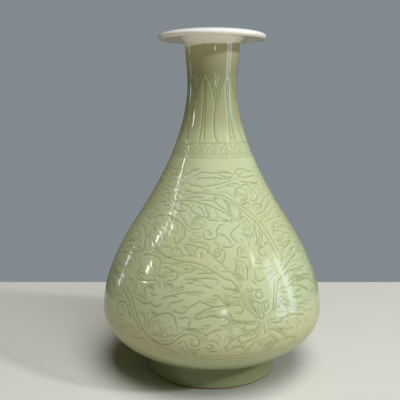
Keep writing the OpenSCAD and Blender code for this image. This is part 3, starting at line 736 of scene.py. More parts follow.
fineCuts = [
    [(-60, 196), (-57, 196.1), (-55, 195.8)],
    [(-47.5, 198.5), (-46, 197), (-45.5, 196)],
    [(-56, 189), (-52, 188.3), (-48, 189), (-45, 189.2)],
    [(-54, 185), (-50, 184.5), (-46, 184.2), (-43, 184)],
    [(-36.5, 184), (-34.5, 183.6)],
    [(-58, 181), (-53, 181.5), (-48, 181.2)],
    [(-44.5, 176.5), (-42.5, 176.6)],
    [(-57, 175), (-52, 175.3), (-48, 174.6)],
    [(-44.5, 174), (-43, 174.4), (-41.5, 173.5), (-41, 172.3)],
    [(-42, 166), (-39, 166), (-37.5, 166.5)],
    [(-55, 164), (-53, 163.3), (-51, 163.2), (-48, 164)],
    [(-35, 163.5), (-33.5, 163)],
    [(-60, 158.5), (-55, 158.8), (-51, 159.3)],
    [(-42, 158.8), (-40.5, 158), (-39, 157.6), (-37, 157.5)],
    [(-55, 151), (-52, 150.5), (-49, 150.6)],
    [(-47, 154), (-45, 153.3), (-43, 152.5), (-41.5, 151.5)],
    [(-47.5, 152), (-46, 151)],
    [(-48, 146.5), (-46.5, 145.5), (-45, 144.8)],
    [(-48, 143.8), (-46, 142.5), (-45, 141.8)],
    [(-40, 151), (-38.5, 149.7), (-37, 148.7)],
    [(-36.5, 152.5), (-35.7, 151.5)],
    [(-33, 146.5), (-31.5, 145)],
    [(-62, 138), (-58, 137), (-55, 136.3), (-52, 136)],
    [(-62, 134.5), (-58, 134.2)],
    [(-44, 139), (-43.3, 136.5), (-42, 134), (-41, 132)],
    [(-48.5, 124), (-47, 121.8), (-45.8, 119.5)],
    [(-47, 124.3), (-45.5, 122), (-44.5, 120)],
    [(-54, 120.5), (-52, 119), (-50.5, 117)],
    [(-54, 116), (-51, 115), (-48.5, 113.5), (-47, 112)],
    [(-46.5, 104.5), (-45.8, 101.5), (-44.6, 98.5), (-43.6, 95.5)],
    [(-44.3, 104), (-43.6, 101), (-43, 98), (-42.3, 95)],
    [(-48.5, 103), (-47.8, 100.5), (-46.8, 98)],
    [(-58, 104), (-55, 103), (-52.5, 101.5)],
    [(-60, 90), (-56, 89.2), (-52, 89.5)],
    [(-54, 73), (-51, 72.6), (-49, 73)],
    [(-55, 66), (-52, 67.5), (-50, 68.7), (-48, 70)],
    [(-44, 66.3), (-42, 66.8), (-40, 66.9)],
    [(-44, 56.3), (-41.5, 57.7), (-39, 58.5)],
    [(-39, 57), (-36, 58.5), (-33, 60)],
    [(33, 196), (36, 197), (38, 197.3)],
    [(50, 182), (54, 181.3), (58, 181.6)],
    [(52, 185), (57, 184.8)],
    [(49, 178.7), (53, 178), (58, 178.3)],
    [(48, 175.3), (52, 175.7), (56, 176)],
    [(50, 161), (53, 161.8), (56, 162.8), (60, 165)],
    [(40.5, 159.5), (44, 160.2), (48, 161)],
    [(41, 158), (45, 158.5), (49, 159.5), (53, 161)],
    [(43, 155), (47, 155.5), (52, 156), (56, 156)],
    [(46, 148.5), (48, 150.3), (50, 151.2)],
    [(44.5, 145.5), (46.5, 144.3), (48, 142.5)],
    [(35.3, 159), (36, 158), (36.5, 157)],
    [(44.5, 128), (46.5, 129.2), (49, 130)],
    [(45, 124), (49, 124.5), (53, 126), (57, 127.8)],
    [(51, 119), (54, 119.5), (56, 119)],
    [(48, 116), (52, 116.5), (56, 116)],
    [(50, 111), (55, 110.8), (59, 109.5)],
    [(46.5, 107.5), (48.5, 109), (50, 110)],
    [(46, 91.5), (48, 90.5), (49.5, 89)],
    [(39.5, 86), (42, 84.5), (44.5, 82.8), (46.5, 81)],
    [(40, 83), (43, 81.3), (46, 79.8)],
    [(55, 85.5), (57, 84), (59, 81.5)],
    [(51, 77.5), (54, 76), (57, 74.5), (60, 73.5)],
    [(44, 69), (44.2, 66.5), (44, 64)],
    [(50.5, 70), (52, 68), (53.5, 66)],
    [(33, 60), (35.5, 58.7), (38, 57.5)],
]


# a closed round of a given radius in millimetres about (angle, height)
def roundCut(angle, height, radius, points=9):
    t = np.linspace(0, 2 * np.pi, points)
    wide = np.degrees(radius / float(clayRadius(height)))
    return list(zip(angle + wide * np.sin(t), height + radius * np.cos(t)))


roundCuts = [roundCut(23.3, 83.5, 2.6), roundCut(19.2, 104.2, 1.5), roundCut(19.5, 98, 1.6),
             roundCut(23.3, 100, 2.8), roundCut(18.9, 101, 0.5), roundCut(32.8, 88.5, 1.6),
             roundCut(2.4, 177.8, 0.9), roundCut(8.2, 159.2, 0.6), roundCut(28, 175.8, 0.7),
             roundCut(-32.3, 188.4, 0.9), roundCut(19.2, 143, 0.5), roundCut(2.8, 111.2, 0.5)]


# one curl of the band round the foot of the neck: an oval, about half as wide as the step to the next one
def curlCut(angle, height, points=13):
    t = np.linspace(0, 2 * np.pi, points)
    wide, tall = carving["curlSize"]
    return list(zip(angle + wide * np.sin(t), height + tall * np.cos(t)))


# the arch that springs up beside a curl, runs over it and comes down on its other side
def archCut(angle, height):
    half = [(9.6, -2.6), (8.6, 1.1), (5.2, 3.8)]
    points = [(-a, z) for a, z in half] + [(0, 4.5)] + half[::-1]
    return [(angle + a, height + z) for a, z in points]


# one standing leaf of the neck: a doubled rib, and doubled sides that part from the next leaf near the tips
def leafCuts(angle):
    side = [(8, 286), (13, 284), (17, 281), (20, 276), (23, 273), (25.7, 269.5)]
    inset = [(5, 284.5), (10, 281), (14, 277), (17.5, 272), (20, 268), (21.5, 262)]
    stem = [(25.7, 269.5), (25, 262), (23, 256), (20.5, 250), (20, 244), (20, 238), (21, 231), (23, 227),
            (26, 224.5)]
    rib = [(2, 279), (2.3, 268), (2.2, 256), (2.6, 244), (3, 234), (4, 226)]
    made = [[(angle + a, z) for a, z in line] for line in (side, inset, stem, rib)]
    return made + [[(angle - a, z) for a, z in line] for line in (side, inset, rib)]


# a smooth line (Catmull-Rom) through a cut's points, with each sample's share of the depth and its heading
def drawCut(points, taper, deep):
    knots = np.array(points, float)
    if taper and not np.allclose(knots[0], knots[-1]):
        out = knots[[0, -1]] - knots[[1, -2]]
        out /= np.hypot(np.radians(out[:, :1]) * clayRadius(knots[[0, -1], 1:]), out[:, 1:])
        out *= carving["runOn"]
        knots = np.vstack([knots[0] + out[0], knots, knots[-1] + out[1]])
    knots = np.vstack([2 * knots[:1] - knots[1:2], knots, 2 * knots[-1:] - knots[-2:-1]])
    a, b, c, d = knots[:-3, None], knots[1:-2, None], knots[2:-1, None], knots[3:, None]
    t = np.linspace(0, 1, carving["steps"])[None, :, None]
    line = b + 0.5 * t * (c - a + t * (2 * a - 5 * b + 4 * c - d + t * (3 * b - a - 3 * c + d)))
    line = line.reshape(-1, 2)
    wide = np.radians(np.diff(line[:, 0])) * clayRadius(line[:-1, 1])
    rise = np.diff(lengthAt(line[:, 1]))
    heading = np.arctan2(rise, wide + tiny)
    along = np.append(0, np.cumsum(np.hypot(wide, rise)))
    toEnd = np.minimum(along, along[-1] - along)
    least = carving["endShare"]
    share = np.clip(least + (1 - least) * toEnd / carving["taper"], 0, 1) if taper else np.ones(len(line))
    return np.column_stack([line, share * deep, np.append(heading, heading[-1])])


mainCuts = (upperLeaves + mainStem + topCluster + middleClouds + stemClouds + leftLeaves + wideWing
            + bigFlower + rightLeaves + lowerLeft + roundCuts)
veinCuts = upperVeins + spiralTurns + wingVeins + lowerTurns + flowerVeins + innerCuts + sideCuts
groups = zip((mainCuts, veinCuts, fineCuts), carving["shares"])
field = np.vstack([drawCut(cut, True, deep) for group, deep in groups for cut in group])
field[:, 2] *= np.interp(field[:, 1], *carving["deeper"])
turns = [360 / carving["repeats"] * k for k in range(carving["repeats"])]
drawn = [field + [turn, 0, 0, 0] for turn in turns]
for leaf in range(carving["leaves"]):
    place = carving["leafStart"] + 360 / carving["leaves"] * leaf
    drawn += [drawCut(cut, True, carving["leafDeep"]) for cut in leafCuts(place)]
curlStep = 360 / carving["curls"]
for curl in range(carving["curls"]):
    middle = carving["curlStart"] + curlStep * curl, carving["curlHeight"]
    drawn.append(drawCut(curlCut(*middle), False, carving["curlDeep"]))
    drawn.append(drawCut(roundCut(*middle, carving["dotRadius"]), False, carving["curlDeep"]))
    drawn.append(drawCut(archCut(*middle), True, carving["curlDeep"]))
for ringHeight, deep in carving["rings"].items():
    drawn.append(drawCut([(a, ringHeight) for a in range(0, 361, carving["ringStep"])], False, deep))
cuts = np.vstack(drawn) + [carving["turn"], -carving["drop"], 0, 0]
print("pattern drawn:", len(mainCuts + veinCuts + fineCuts), "cuts in the field,", len(cuts), "samples")


# Offset from each point of a grid on the surface to the closest cut, across and along, with that cut's share
# and its side. Each sample offers itself to the grid points around it, farthest first, so that the closest
# one stays.
def nearestCut(start, step, rows, columns):
    length = lengthAt(cuts[:, 1])
    margin, far = carving["margin"], carving["far"]
    inside = (length > start - margin) & (length < start + step * rows + margin)
    near = cuts[inside]
    row = (length[inside] - start) / step
    column = near[:, 0] / (360 / columns)
    rowReach, columnReach = carving["search"]
    around = np.mgrid[-rowReach:rowReach + 1, -columnReach:columnReach + 1]
    rowOffset, columnOffset = [v.ravel() for v in around]
    i = np.rint(row)[:, None] + rowOffset
    j = np.rint(column)[:, None] + columnOffset
    across = (column[:, None] - j) * np.radians(360 / columns) * clayRadius(near[:, 1])[:, None]
    along = (row[:, None] - i) * step
    share = np.broadcast_to(near[:, 2:3], i.shape)
    kept = (i >= 0) & (i < rows)
    spot = (i * columns + j % columns)[kept].astype(int)
    side = np.sign(across * np.sin(near[:, 3:4]) - along * np.cos(near[:, 3:4]))
    values = np.stack([across[kept], along[kept], share[kept], side[kept]])
    order = np.argsort(-(values[0] ** 2 + values[1] ** 2), kind="stable")
    found = np.repeat([[far], [far], [0.0], [0.0]], rows * columns, axis=1)
    found[:, spot[order]] = values[:, order]
    return found.reshape(4, rows, columns)


# Outer skin between two heights, rows evenly spaced along the surface.
# A grid point beside a cut is drawn onto it, so that a thin line stays sharp, then the hollow is pressed in.
def carvedSkin(low, high, rows, columns):
    start, end = lengthAt(low), lengthAt(high)
    step = (end - start) / (rows - 1)
    length = np.repeat(np.linspace(start, end, rows)[:, None], columns, axis=1)
    angle = np.repeat(np.linspace(0, 2 * np.pi, columns, endpoint=False)[None], rows, axis=0)
    radius = clayRadius(heightAt(length))
    across, along, share, side = nearestCut(start, step, rows, columns)
    distance = np.hypot(across, along) + tiny
    halfCell = np.maximum(np.abs(along) * step, np.abs(across) * radius * 2 * np.pi / columns) / distance / 2
    drawnOn = distance < halfCell
    drawnOn[[0, -1]] = False
    angle = angle + np.where(drawnOn, across / radius, 0)
    height = heightAt(length + np.where(drawnOn, along, 0))
    distance = np.where(drawnOn, 0, distance)
    shallow, slantWidth = carving["slant"]
    slant = np.where(side > 0, shallow * np.exp(-((distance / slantWidth) ** 2)), 0)
    hollow = carving["depth"] * share * np.maximum(np.exp(-0.5 * (distance / carving["width"]) ** 2), slant)
    thinned, beside, spread = carving["edge"]
    thin = np.where(side < 0, thinned * np.exp(-0.5 * ((distance - beside) / spread) ** 2), 0)
    pool = share * (np.maximum(np.exp(-0.5 * (distance / carving["gather"]) ** 2), slant) - thin)
    slope = claySlope(height)
    square = np.sqrt(1 + slope**2)
    lift = vaseLine["glaze"] - hollow
    return angle, clayRadius(height) + lift / square, height - lift * slope / square, pool


# plain rings for a skin, one for each (radius, height) point, with its pooled glaze; on the foot that share
# also carries painted crease shade
def plainRings(points, columns, pool=0.0):
    points = np.array(points, float)
    angle = np.repeat(np.linspace(0, 2 * np.pi, columns, endpoint=False)[None], len(points), axis=0)
    radius = np.repeat(points[:, :1], columns, axis=1)
    pool = np.repeat(np.broadcast_to(pool, len(points))[:, None], columns, axis=1)
    return angle, radius, np.repeat(points[:, 1:], columns, axis=1), pool


# edge of a section that carries the next one: a flat outer half and a tongue on the inner half
def tongueEdge(joint):
    top = joint + vaseLine["tongue"]
    return [(clayRadius(joint), joint), (middleRadius(joint), joint),
            (middleRadius(top), top), (innerRadius(top), top)]


# edge of the section above it, one slip thickness away, from the inside outwards
def rebateEdge(joint):
    slip = vaseLine["slip"]
    top = joint + vaseLine["tongue"]
    return [(innerRadius(top + slip), top + slip), (middleRadius(top) + slip, top + slip),
            (middleRadius(joint) + slip, joint + slip), (clayRadius(joint + slip), joint + slip)]


# points down the inside of the wall, evenly spaced between two heights and without those two
def innerLine(high, low, rows):
    z = np.linspace(high, low, rows + 2)[1:-1]
    return list(zip(innerRadius(z), z))


# Closed skin from stacked rings: each ring joins the next. The last one joins the first, or both ends close
# on the axis. A point stands at its radius and angle, angle 0 facing -Y and turning towards +X.
def skinPiece(name, rings, sharp, poles=None):
    angle, radius, height, pool = [np.vstack(part) for part in zip(*rings)]
    count, columns = radius.shape
    points = np.stack([radius * np.sin(angle), -radius * np.cos(angle), height], -1).reshape(-1, 3)
    i = np.arange(count if poles is None else count - 1)[:, None] * columns
    above = (i + columns) % (count * columns)
    j = np.arange(columns)[None]
    beside = (j + 1) % columns
    faces = np.stack([i + j, i + beside, above + beside, above + j], -1).reshape(-1, 4).tolist()
    pool = pool.ravel()
    if poles is not None:
        bottom, top = len(points), len(points) + 1
        points = np.vstack([points, [0, 0, poles[0]], [0, 0, poles[1]]])
        pool = np.append(pool, [0, 0])
        last = (count - 1) * columns
        faces += np.stack([np.full(columns, bottom), beside[0], j[0]], -1).tolist()
        faces += np.stack([last + j[0], last + beside[0], np.full(columns, top)], -1).tolist()
    mesh = bpy.data.meshes.new(name)
    mesh.from_pydata((points * mm).tolist(), [], faces)
    mesh.polygons.foreach_set("use_smooth", np.ones(len(mesh.polygons), bool))
    mesh.attributes.new("pool", "FLOAT", "POINT").data.foreach_set("value", pool.astype(np.float32))
    ends = np.empty(len(mesh.edges) * 2, np.int32)
    mesh.edges.foreach_get("vertices", ends)
    ring = ends.reshape(-1, 2) // columns
    edge = (ring[:, 0] == ring[:, 1]) & np.isin(ring[:, 0], [k % count for k in sharp])
    mesh.attributes.new("sharp_edge", "BOOLEAN", "EDGE").data.foreach_set("value", edge)
    mesh.update()
    piece = bpy.data.objects.new(name, mesh)
    bpy.context.scene.collection.objects.link(piece)
    print(name, len(faces), "faces")
    return piece


# evenly spaced points along a line, softened by averaging each point with its neighbours
def softLine(points, spacing, passes):
    points = np.array(points, float)
    along = np.append(0, np.cumsum(np.hypot(*np.diff(points, axis=0).T)))
    even = np.linspace(0, along[-1], int(along[-1] / spacing) + 1)
    line = np.column_stack([np.interp(even, along, points[:, 0]), np.interp(even, along, points[:, 1])])
    for _ in range(passes):
        line[1:-1] = (line[:-2] + 2 * line[1:-1] + line[2:]) / 4
    return line


# moves a line square to itself, to the right of its run, by the glaze's thickness
def glazedLine(line):
    run = np.gradient(line, axis=0)
    run = run / np.hypot(run[:, 0], run[:, 1])[:, None]
    return line + vaseLine["glaze"] * np.column_stack([run[:, 1], -run[:, 0]])


# cubic curve between two end points, drawn towards two handles
def handleCurve(a, b, c, d, steps):
    t = np.linspace(0, 1, steps)[:, None]
    a, b, c, d = [np.array(p, float) for p in (a, b, c, d)]
    return (1 - t) ** 3 * a + 3 * (1 - t) ** 2 * t * b + 3 * (1 - t) * t**2 * c + t**3 * d


# Materials
class Val:
    # wraps an output socket, so that sums and products of values add their Math nodes
    def __init__(self, tree, socket=None):
        self.tree = tree
        self.socket = socket

    # adds a node of a type with its settings, then the values or links of its sockets, and gives one output
    def node(self, kind, settings, sockets, output=0):
        made = self.tree.nodes.new(kind)
        for key, value in settings.items():
            setattr(made, key, value)
        for key, value in sockets.items():
            if isinstance(value, Val):
                self.tree.links.new(value.socket, made.inputs[key])
            else:
                made.inputs[key].default_value = value
        return Val(self.tree, made.outputs[output] if made.outputs else None)

    # a Math node on two values
    def math(self, operation, first, second):
        return self.node("ShaderNodeMath", {"operation": operation}, {0: first, 1: second})

    def __add__(self, other):
        return self.math("ADD", self, other)

    def __radd__(self, other):
        return self.math("ADD", other, self)

    def __sub__(self, other):
        return self.math("SUBTRACT", self, other)

    def __rmul__(self, other):
        return self.math("MULTIPLY", other, self)

    # 0 below a value, 1 above another, and a smooth rise between them
    def rise(self, low, high):
        sockets = {"Value": self, "From Min": low, "From Max": high, "To Min": 0.0, "To Max": 1.0}
        return self.node("ShaderNodeMapRange", {"interpolation_type": "SMOOTHSTEP"}, sockets)

    # noise at a place, 0 to 1, from its scale and its number of octaves
    def noise(self, scale, detail):
        sockets = {"Vector": self, "Scale": scale, "Detail": detail}
        return self.node("ShaderNodeTexNoise", {}, sockets, "Fac")

    # the first colour where the share is 0, the second where it is 1
    def mix(self, share, first, second):
        return self.node("ShaderNodeMix", {"data_type": "RGBA"}, {0: share, 6: first, 7: second}, 2)


# a colour as it looks, red, green and blue out of 255, made linear for a shader by the sRGB curve
def tone(red, green, blue):
    level = np.array([red, green, blue]) / 255
    linear = np.where(level < 0.04045, level / 12.92, ((level + 0.055) / 1.055) ** 2.4)
    return (*[float(v) for v in linear], 1.0)


# a new material without nodes, and the wrapper of its tree
def startMaterial(name):
    material = bpy.data.materials.new(name)
    material.use_nodes = True
    material.node_tree.nodes.clear()
    return material, Val(material.node_tree)


# ends a material in one Principled shader with the given sockets
def endMaterial(material, start, sockets):
    shader = start.node("ShaderNodeBsdfPrincipled", {}, sockets)
    start.node("ShaderNodeOutputMaterial", {}, {"Surface": shader})
    return material


celadon = {
    "thin": tone(197, 206, 166),
    "pooled": tone(126, 136, 88),
    "pale": tone(226, 230, 196),
    "warm": tone(194, 192, 144),
    "low": tone(206, 199, 152),  # paler and warmer where the belly turns under: painted warm light thrown up from the floor
    "paintedBounceBand": (37, 50, 60, 82),  # heights over which that begins and ends
    "neckShade": tone(157, 153, 108),  # darker and warmer on the neck: painted shade
    "neckShadeBand": (222, 250),
    "edge": tone(198, 189, 154),  # thin and brown just under the white mouth
    "edgeBand": (286, 304),
    "speck": tone(120, 112, 72),
    "driftNoise": (16, 2),  # scale and octaves
    "driftRange": (0.42, 0.66),  # the noise over which the drift sets in
    "speckNoise": (420, 1),
    "speckRange": (0.73, 0.77),
    "grainNoise": (260, 4),
    "peelNoise": (90, 2),
    "peel": (0.06, 0.0006),  # strength and height of the unevenness
    "roughness": (0.07, 0.05),  # at the least, and what the grain adds
    "index": 1.52,
}


# celadon glaze: pale where thin, deeper green in the cuts, warmer in slow drifts, with a few fine specks;
# paler and warmer low on the belly as painted warm floor light, darker and warmer on the neck as painted
# shade, and deeper green near the foot from pooled glaze with painted crease shade
def celadonColour(start, place):
    # on the lower body and the foot the pool share also carries painted crease shade
    pool = start.node("ShaderNodeAttribute", {"attribute_name": "pool"}, {}, "Fac")
    drift = place.noise(*celadon["driftNoise"]).rise(*celadon["driftRange"])
    speck = place.noise(*celadon["speckNoise"]).rise(*celadon["speckRange"])
    mottle = place.noise(*celadon["grainNoise"])
    height = start.node("ShaderNodeSeparateXYZ", {}, {"Vector": place}, "Z")
    lowStart, lowFull, lowFade, lowEnd = [v * mm for v in celadon["paintedBounceBand"]]
    low = height.rise(lowStart, lowFull) - height.rise(lowFade, lowEnd)
    # the neck's band is painted shade, darker and warmer
    neckShade, edge = [height.rise(*[v * mm for v in celadon[band]]) for band in ("neckShadeBand", "edgeBand")]
    # each colour, its strength and where it lies, laid over the ones before it
    layers = [("warm", 0.55, drift), ("low", 0.6, low), ("neckShade", 0.6, neckShade), ("edge", 0.7, edge),
              ("pooled", 0.7, pool), ("pale", -1.0, pool), ("pooled", 0.1, mottle), ("speck", 0.5, speck)]
    colour = celadon["thin"]
    for name, strength, share in layers:
        colour = start.mix(strength * share, colour, celadon[name])
    return colour


# a glazed surface of a colour: a smooth coat with a very slight unevenness
def glazed(material, start, place, colour):
    peel = place.noise(*celadon["peelNoise"])
    strength, distance = celadon["peel"]
    bump = start.node("ShaderNodeBump", {}, {"Strength": strength, "Distance": distance, "Height": peel})
    least, added = celadon["roughness"]
    gloss = least + added * place.noise(*celadon["grainNoise"])
    return endMaterial(material, start, {"Base Color": colour, "Roughness": gloss, "Normal": bump,
                                         "IOR": celadon["index"]})


# a new material, the wrapper of its tree and the place on the object in metres
def startGlaze(name):
    material, start = startMaterial(name)
    return material, start, start.node("ShaderNodeTexCoord", {}, {}, "Object")


# 0 below a height and 1 above it, rising from a little under it to a little over it
def softStep(value, height, under, over):
    return value.rise((height - under) * mm, (height + over) * mm)


# body: celadon all over
def celadonGlaze():
    material, start, place = startGlaze("celadonGlaze")
    return glazed(material, start, place, celadonColour(start, place))


footGlazing = {
    "clay": tone(150, 118, 82),
    "bare": (1.7, 0.2, 0.9),  # the glaze is wiped off up to this height, with the span under and over it
    "waver": (0.0012, 120, 2),  # height of the edge's waver in metres, its scale and octaves
}


# foot: celadon down to a wavering edge just above the table, bare fired clay below it
def footGlaze():
    material, start, place = startGlaze("footGlaze")
    height = start.node("ShaderNodeSeparateXYZ", {}, {"Vector": place}, "Z")
    waver, *noise = footGlazing["waver"]
    covered = softStep(height + waver * place.noise(*noise), *footGlazing["bare"])
    colour = start.mix(covered, footGlazing["clay"], celadonColour(start, place))
    return glazed(material, start, place, colour)


whiteGlazing = {
    "white": tone(236, 240, 236),
    "thin": tone(251, 245, 238),
    "collar": tone(249, 242, 230),
    # heights, each with the span of its rise under and over it
    "line": (312.6, 0.5, 0.6),  # the green of the neck gives way to white, in the middle of the front
    "lipFrom": (317.9, 0.7, 0.7),  # the lip begins, above the collar
    "whiteFrom": (320.6, 0.7, 0.5),  # thick and white above; on the lip's edge and under it, thin glaze with painted warm bounce light, warmer than the white
    "tilt": 0.077,  # rise of the green's line for each unit to the right
    "wavers": ((0.004, 38, 3), (0.0015, 150, 2)),  # heights of the waver in metres, scales and octaves
    "whiteWaver": 0.6,  # share of that waver in the edge of the thick white
}


# mouth: white on top; on the edge, under the lip and on the collar a warmer white, thin glaze with painted
# warm bounce light in the shade under the lip; green below a wavering line
def whiteGlaze():
    material, start, place = startGlaze("whiteGlaze")
    across, height = [start.node("ShaderNodeSeparateXYZ", {}, {"Vector": place}, axis) for axis in ("X", "Z")]
    wavers = whiteGlazing["wavers"]
    slow, quick = [size * place.noise(scale, octaves) for size, scale, octaves in wavers]
    waver = slow + quick - sum(size for size, scale, octaves in wavers) / 2
    thick = softStep(height + whiteGlazing["whiteWaver"] * waver, *whiteGlazing["whiteFrom"])
    lip = softStep(height, *whiteGlazing["lipFrom"])
    # the lip's edge, its underside and the collar take a warmer white: thin glaze with painted warm bounce
    # light
    colour = start.mix(lip, whiteGlazing["collar"], whiteGlazing["thin"])
    colour = start.mix(thick, colour, whiteGlazing["white"])
    covered = softStep(height - whiteGlazing["tilt"] * across + waver, *whiteGlazing["line"])
    return glazed(material, start, place, start.mix(covered, celadonColour(start, place), colour))


slipFired = {
    "light": tone(196, 188, 162),
    "dark": tone(178, 168, 140),
    "colourNoise": (300, 4),
    "matt": (0.7, 0.1, 500, 2),  # least roughness, what its noise adds, that noise's scale and octaves
}


# fired slip in the joints: pale clay, matt and slightly grainy
def slipClay():
    material, start, place = startGlaze("slipClay")
    colour = start.mix(place.noise(*slipFired["colourNoise"]), slipFired["light"], slipFired["dark"])
    least, added, *noise = slipFired["matt"]
    grainy = least + added * place.noise(*noise)
    return endMaterial(material, start, {"Base Color": colour, "Roughness": grainy})


celadonMaterial, footMaterial = celadonGlaze(), footGlaze()
whiteMaterial, slipMaterial = whiteGlaze(), slipClay()
print("glazes ready")

crease = {"narrow": 0.9, "wide": 17.0, "thick": 1.5}  # two spreads, and the height of the wide one


# glaze pooled in the crease between the body and the foot, with painted shade there and under the belly: the
# larger of a sharp line that dies away and a wide bell around it
def creasePoolAndShade(distance):
    line = np.exp(-np.abs(distance) / crease["narrow"])
    return np.maximum(line, crease["thick"] * np.exp(-((distance / crease["wide"]) ** 2)))


footRing = {"columns": 480, "topRadius": 63.0, "width": 9.0, "bevel": 1.4, "rimSteps": 7, "spacing": 0.5}
lowerBody = {"rows": 108, "columns": 756, "innerRows": 10, "wallRows": 4, "baseRows": 4}


# lower body: the hollow under the foot, the carved outside, the tongue, then down the inside to the floor
def makeLowerBody():
    columns, joint, seat = lowerBody["columns"], vaseLine["bellyJoint"], vaseLine["seat"]
    belly, slip = vaseLine["bellyHeight"], vaseLine["slip"]
    base = belly - vaseLine["turnHeight"]
    floorHeight = base + vaseLine["floor"]
    boss = reach("foot_seam") - footRing["width"] - slip
    middle = vaseLine["bellyRadius"] - vaseLine["turnWidth"]
    angles = np.linspace(0, np.arcsin((boss - middle) / vaseLine["turnWidth"]), lowerBody["baseRows"])
    under = list(zip(middle + vaseLine["turnWidth"] * np.sin(angles),
                     belly - vaseLine["turnHeight"] * np.cos(angles)))
    clayStart = seat + slip
    under += [(boss, clayStart), (clayRadius(clayStart), clayStart)]
    low, high = seat + 0.5 * slip, joint + 0.5 * slip
    angle, radius, height, pool = carvedSkin(low, high, lowerBody["rows"], columns)
    # near the seat the pool share also takes the crease's pooled glaze and painted shade
    outer = angle, radius, height, np.maximum(pool, creasePoolAndShade(height - seat))
    depth = np.linspace(0, np.pi / 2, lowerBody["innerRows"])
    innerWidth = vaseLine["turnWidth"] - vaseLine["bodyWall"]
    innerDepth = vaseLine["turnHeight"] - vaseLine["floor"]
    inside = list(zip(middle + innerWidth * np.cos(depth), belly - innerDepth * np.sin(depth)))
    edge = tongueEdge(joint)
    line = innerLine(joint + vaseLine["tongue"], belly, lowerBody["wallRows"])
    rings = [plainRings(under, columns), outer, plainRings(edge + line + inside, columns)]
    first, last = len(under), len(under) + lowerBody["rows"] - 1
    sharp = [first - 3, first - 2, first - 1, first] + list(range(last, last + 5))
    return skinPiece("lowerBodyGlazed", rings, sharp, (base, floorHeight))


lowerBodyPiece = makeLowerBody()

upperBody = {"rows": 129, "columns": 680, "innerRows": 8}
neckTube = {"rows": 240, "columns": 380, "innerRows": 10}


# a section that sits on one joint and carries the next: carved outside, plain inside, stepped at both edges
def makeSection(name, size, low, high):
    columns, slip = size["columns"], vaseLine["slip"]
    outer = carvedSkin(low + 0.5 * slip, high + 0.5 * slip, size["rows"], columns)
    edges = tongueEdge(high)
    line = innerLine(high + vaseLine["tongue"], low + vaseLine["tongue"] + slip, size["innerRows"])
    rings = [outer, plainRings(edges + line + rebateEdge(low), columns)]
    last = size["rows"] - 1
    return skinPiece(name, rings, [0, -1, -2, -3, -4] + list(range(last, last + 5)))


upperBodyPiece = makeSection("upperBodyGlazed", upperBody, vaseLine["bellyJoint"], vaseLine["neckJoint"])
neckPiece = makeSection("neckGlazed", neckTube, vaseLine["neckJoint"], vaseLine["mouthJoint"])

mouth = {
    "columns": 320,
    "lipThickness": 4.8,
    "lipFall": 4.8,  # from the crest of the top to the middle of the lip's edge
    "lipEnd": 60.0,  # the domed top begins this many degrees above the lip's outermost point
    "crestRadius": 37.0,
    "collarRadius": 30.0,
    "cove": 1.4,
    "domeRuns": (0.25, 0.35),  # shares of a curve's width over which its two ends stay straight
    "coveRuns": (0.5, 0.3),
    "crestTurn": 0.35,  # handles of the curve into the throat: share of the way out to the crest
    "throatTurn": 0.6,  # and of the way up to the top
    "steps": {"collar": 16, "cove": 20, "lip": 30, "dome": 24, "throat": 40},  # points along each curve
    "spacing": 0.35,  # from one ring to the next along the whole line
    "passes": 4,  # of softening
}


# mouth: the collar's curve, the hollow under the lip, its rounded edge, the domed top, then the throat
def makeMouth():
    top, steps = cadBox[1].z / mm, mouth["steps"]
    joint, slip = vaseLine["mouthJoint"], vaseLine["slip"]
    low = joint + 0.5 * slip
    lipRadius = mouth["lipThickness"] / 2
    lipCentre, lipHeight = reach("mouth_rim") - lipRadius, top - mouth["lipFall"]
    under = lipHeight - lipRadius
    coveHeight = under + mouth["cove"]
    neckRadius, collar, crest = float(clayRadius(low)), mouth["collarRadius"], mouth["crestRadius"]
    throatHeight = joint + vaseLine["tongue"] + slip
    throat = float(innerRadius(throatHeight))
    middle = ((neckRadius + collar) / 2, (low + coveHeight) / 2)
    collarLine = handleCurve((neckRadius, low), (neckRadius, middle[1]), middle, (collar, coveHeight),
                             steps["collar"])
    runIn, runOut = [share * (lipCentre - collar) for share in mouth["coveRuns"]]
    cove = handleCurve((collar, coveHeight), (collar + runIn, coveHeight), (lipCentre - runOut, under),
                       (lipCentre, under), steps["cove"])
    around = np.radians(np.linspace(-90, mouth["lipEnd"], steps["lip"]))
    lip = np.column_stack([lipCentre + lipRadius * np.cos(around), lipHeight + lipRadius * np.sin(around)])
    runIn, runOut = [share * (lipCentre - crest) for share in mouth["domeRuns"]]
    start = lip[-1] + runIn * np.array([-np.sin(around[-1]), np.cos(around[-1])])
    dome = handleCurve(lip[-1], start, (crest + runOut, top), (crest, top), steps["dome"])
    crestHandle = throat + (crest - throat) * mouth["crestTurn"], top
    throatHandle = throat, throatHeight + (top - throatHeight) * mouth["throatTurn"]
    inward = handleCurve((crest, top), crestHandle, throatHandle, (throat, throatHeight), steps["throat"])
    whole = np.vstack([collarLine, cove[1:], lip[1:], dome[1:], inward[1:]])
    line = glazedLine(softLine(whole, mouth["spacing"], mouth["passes"]))
    line = np.vstack([line[:-1], rebateEdge(joint)])
    sharp = [0] + [len(line) - k for k in (1, 2, 3, 4)]
    return skinPiece("mouthGlazed", [plainRings(line, mouth["columns"])], sharp)


mouthPiece = makeMouth()


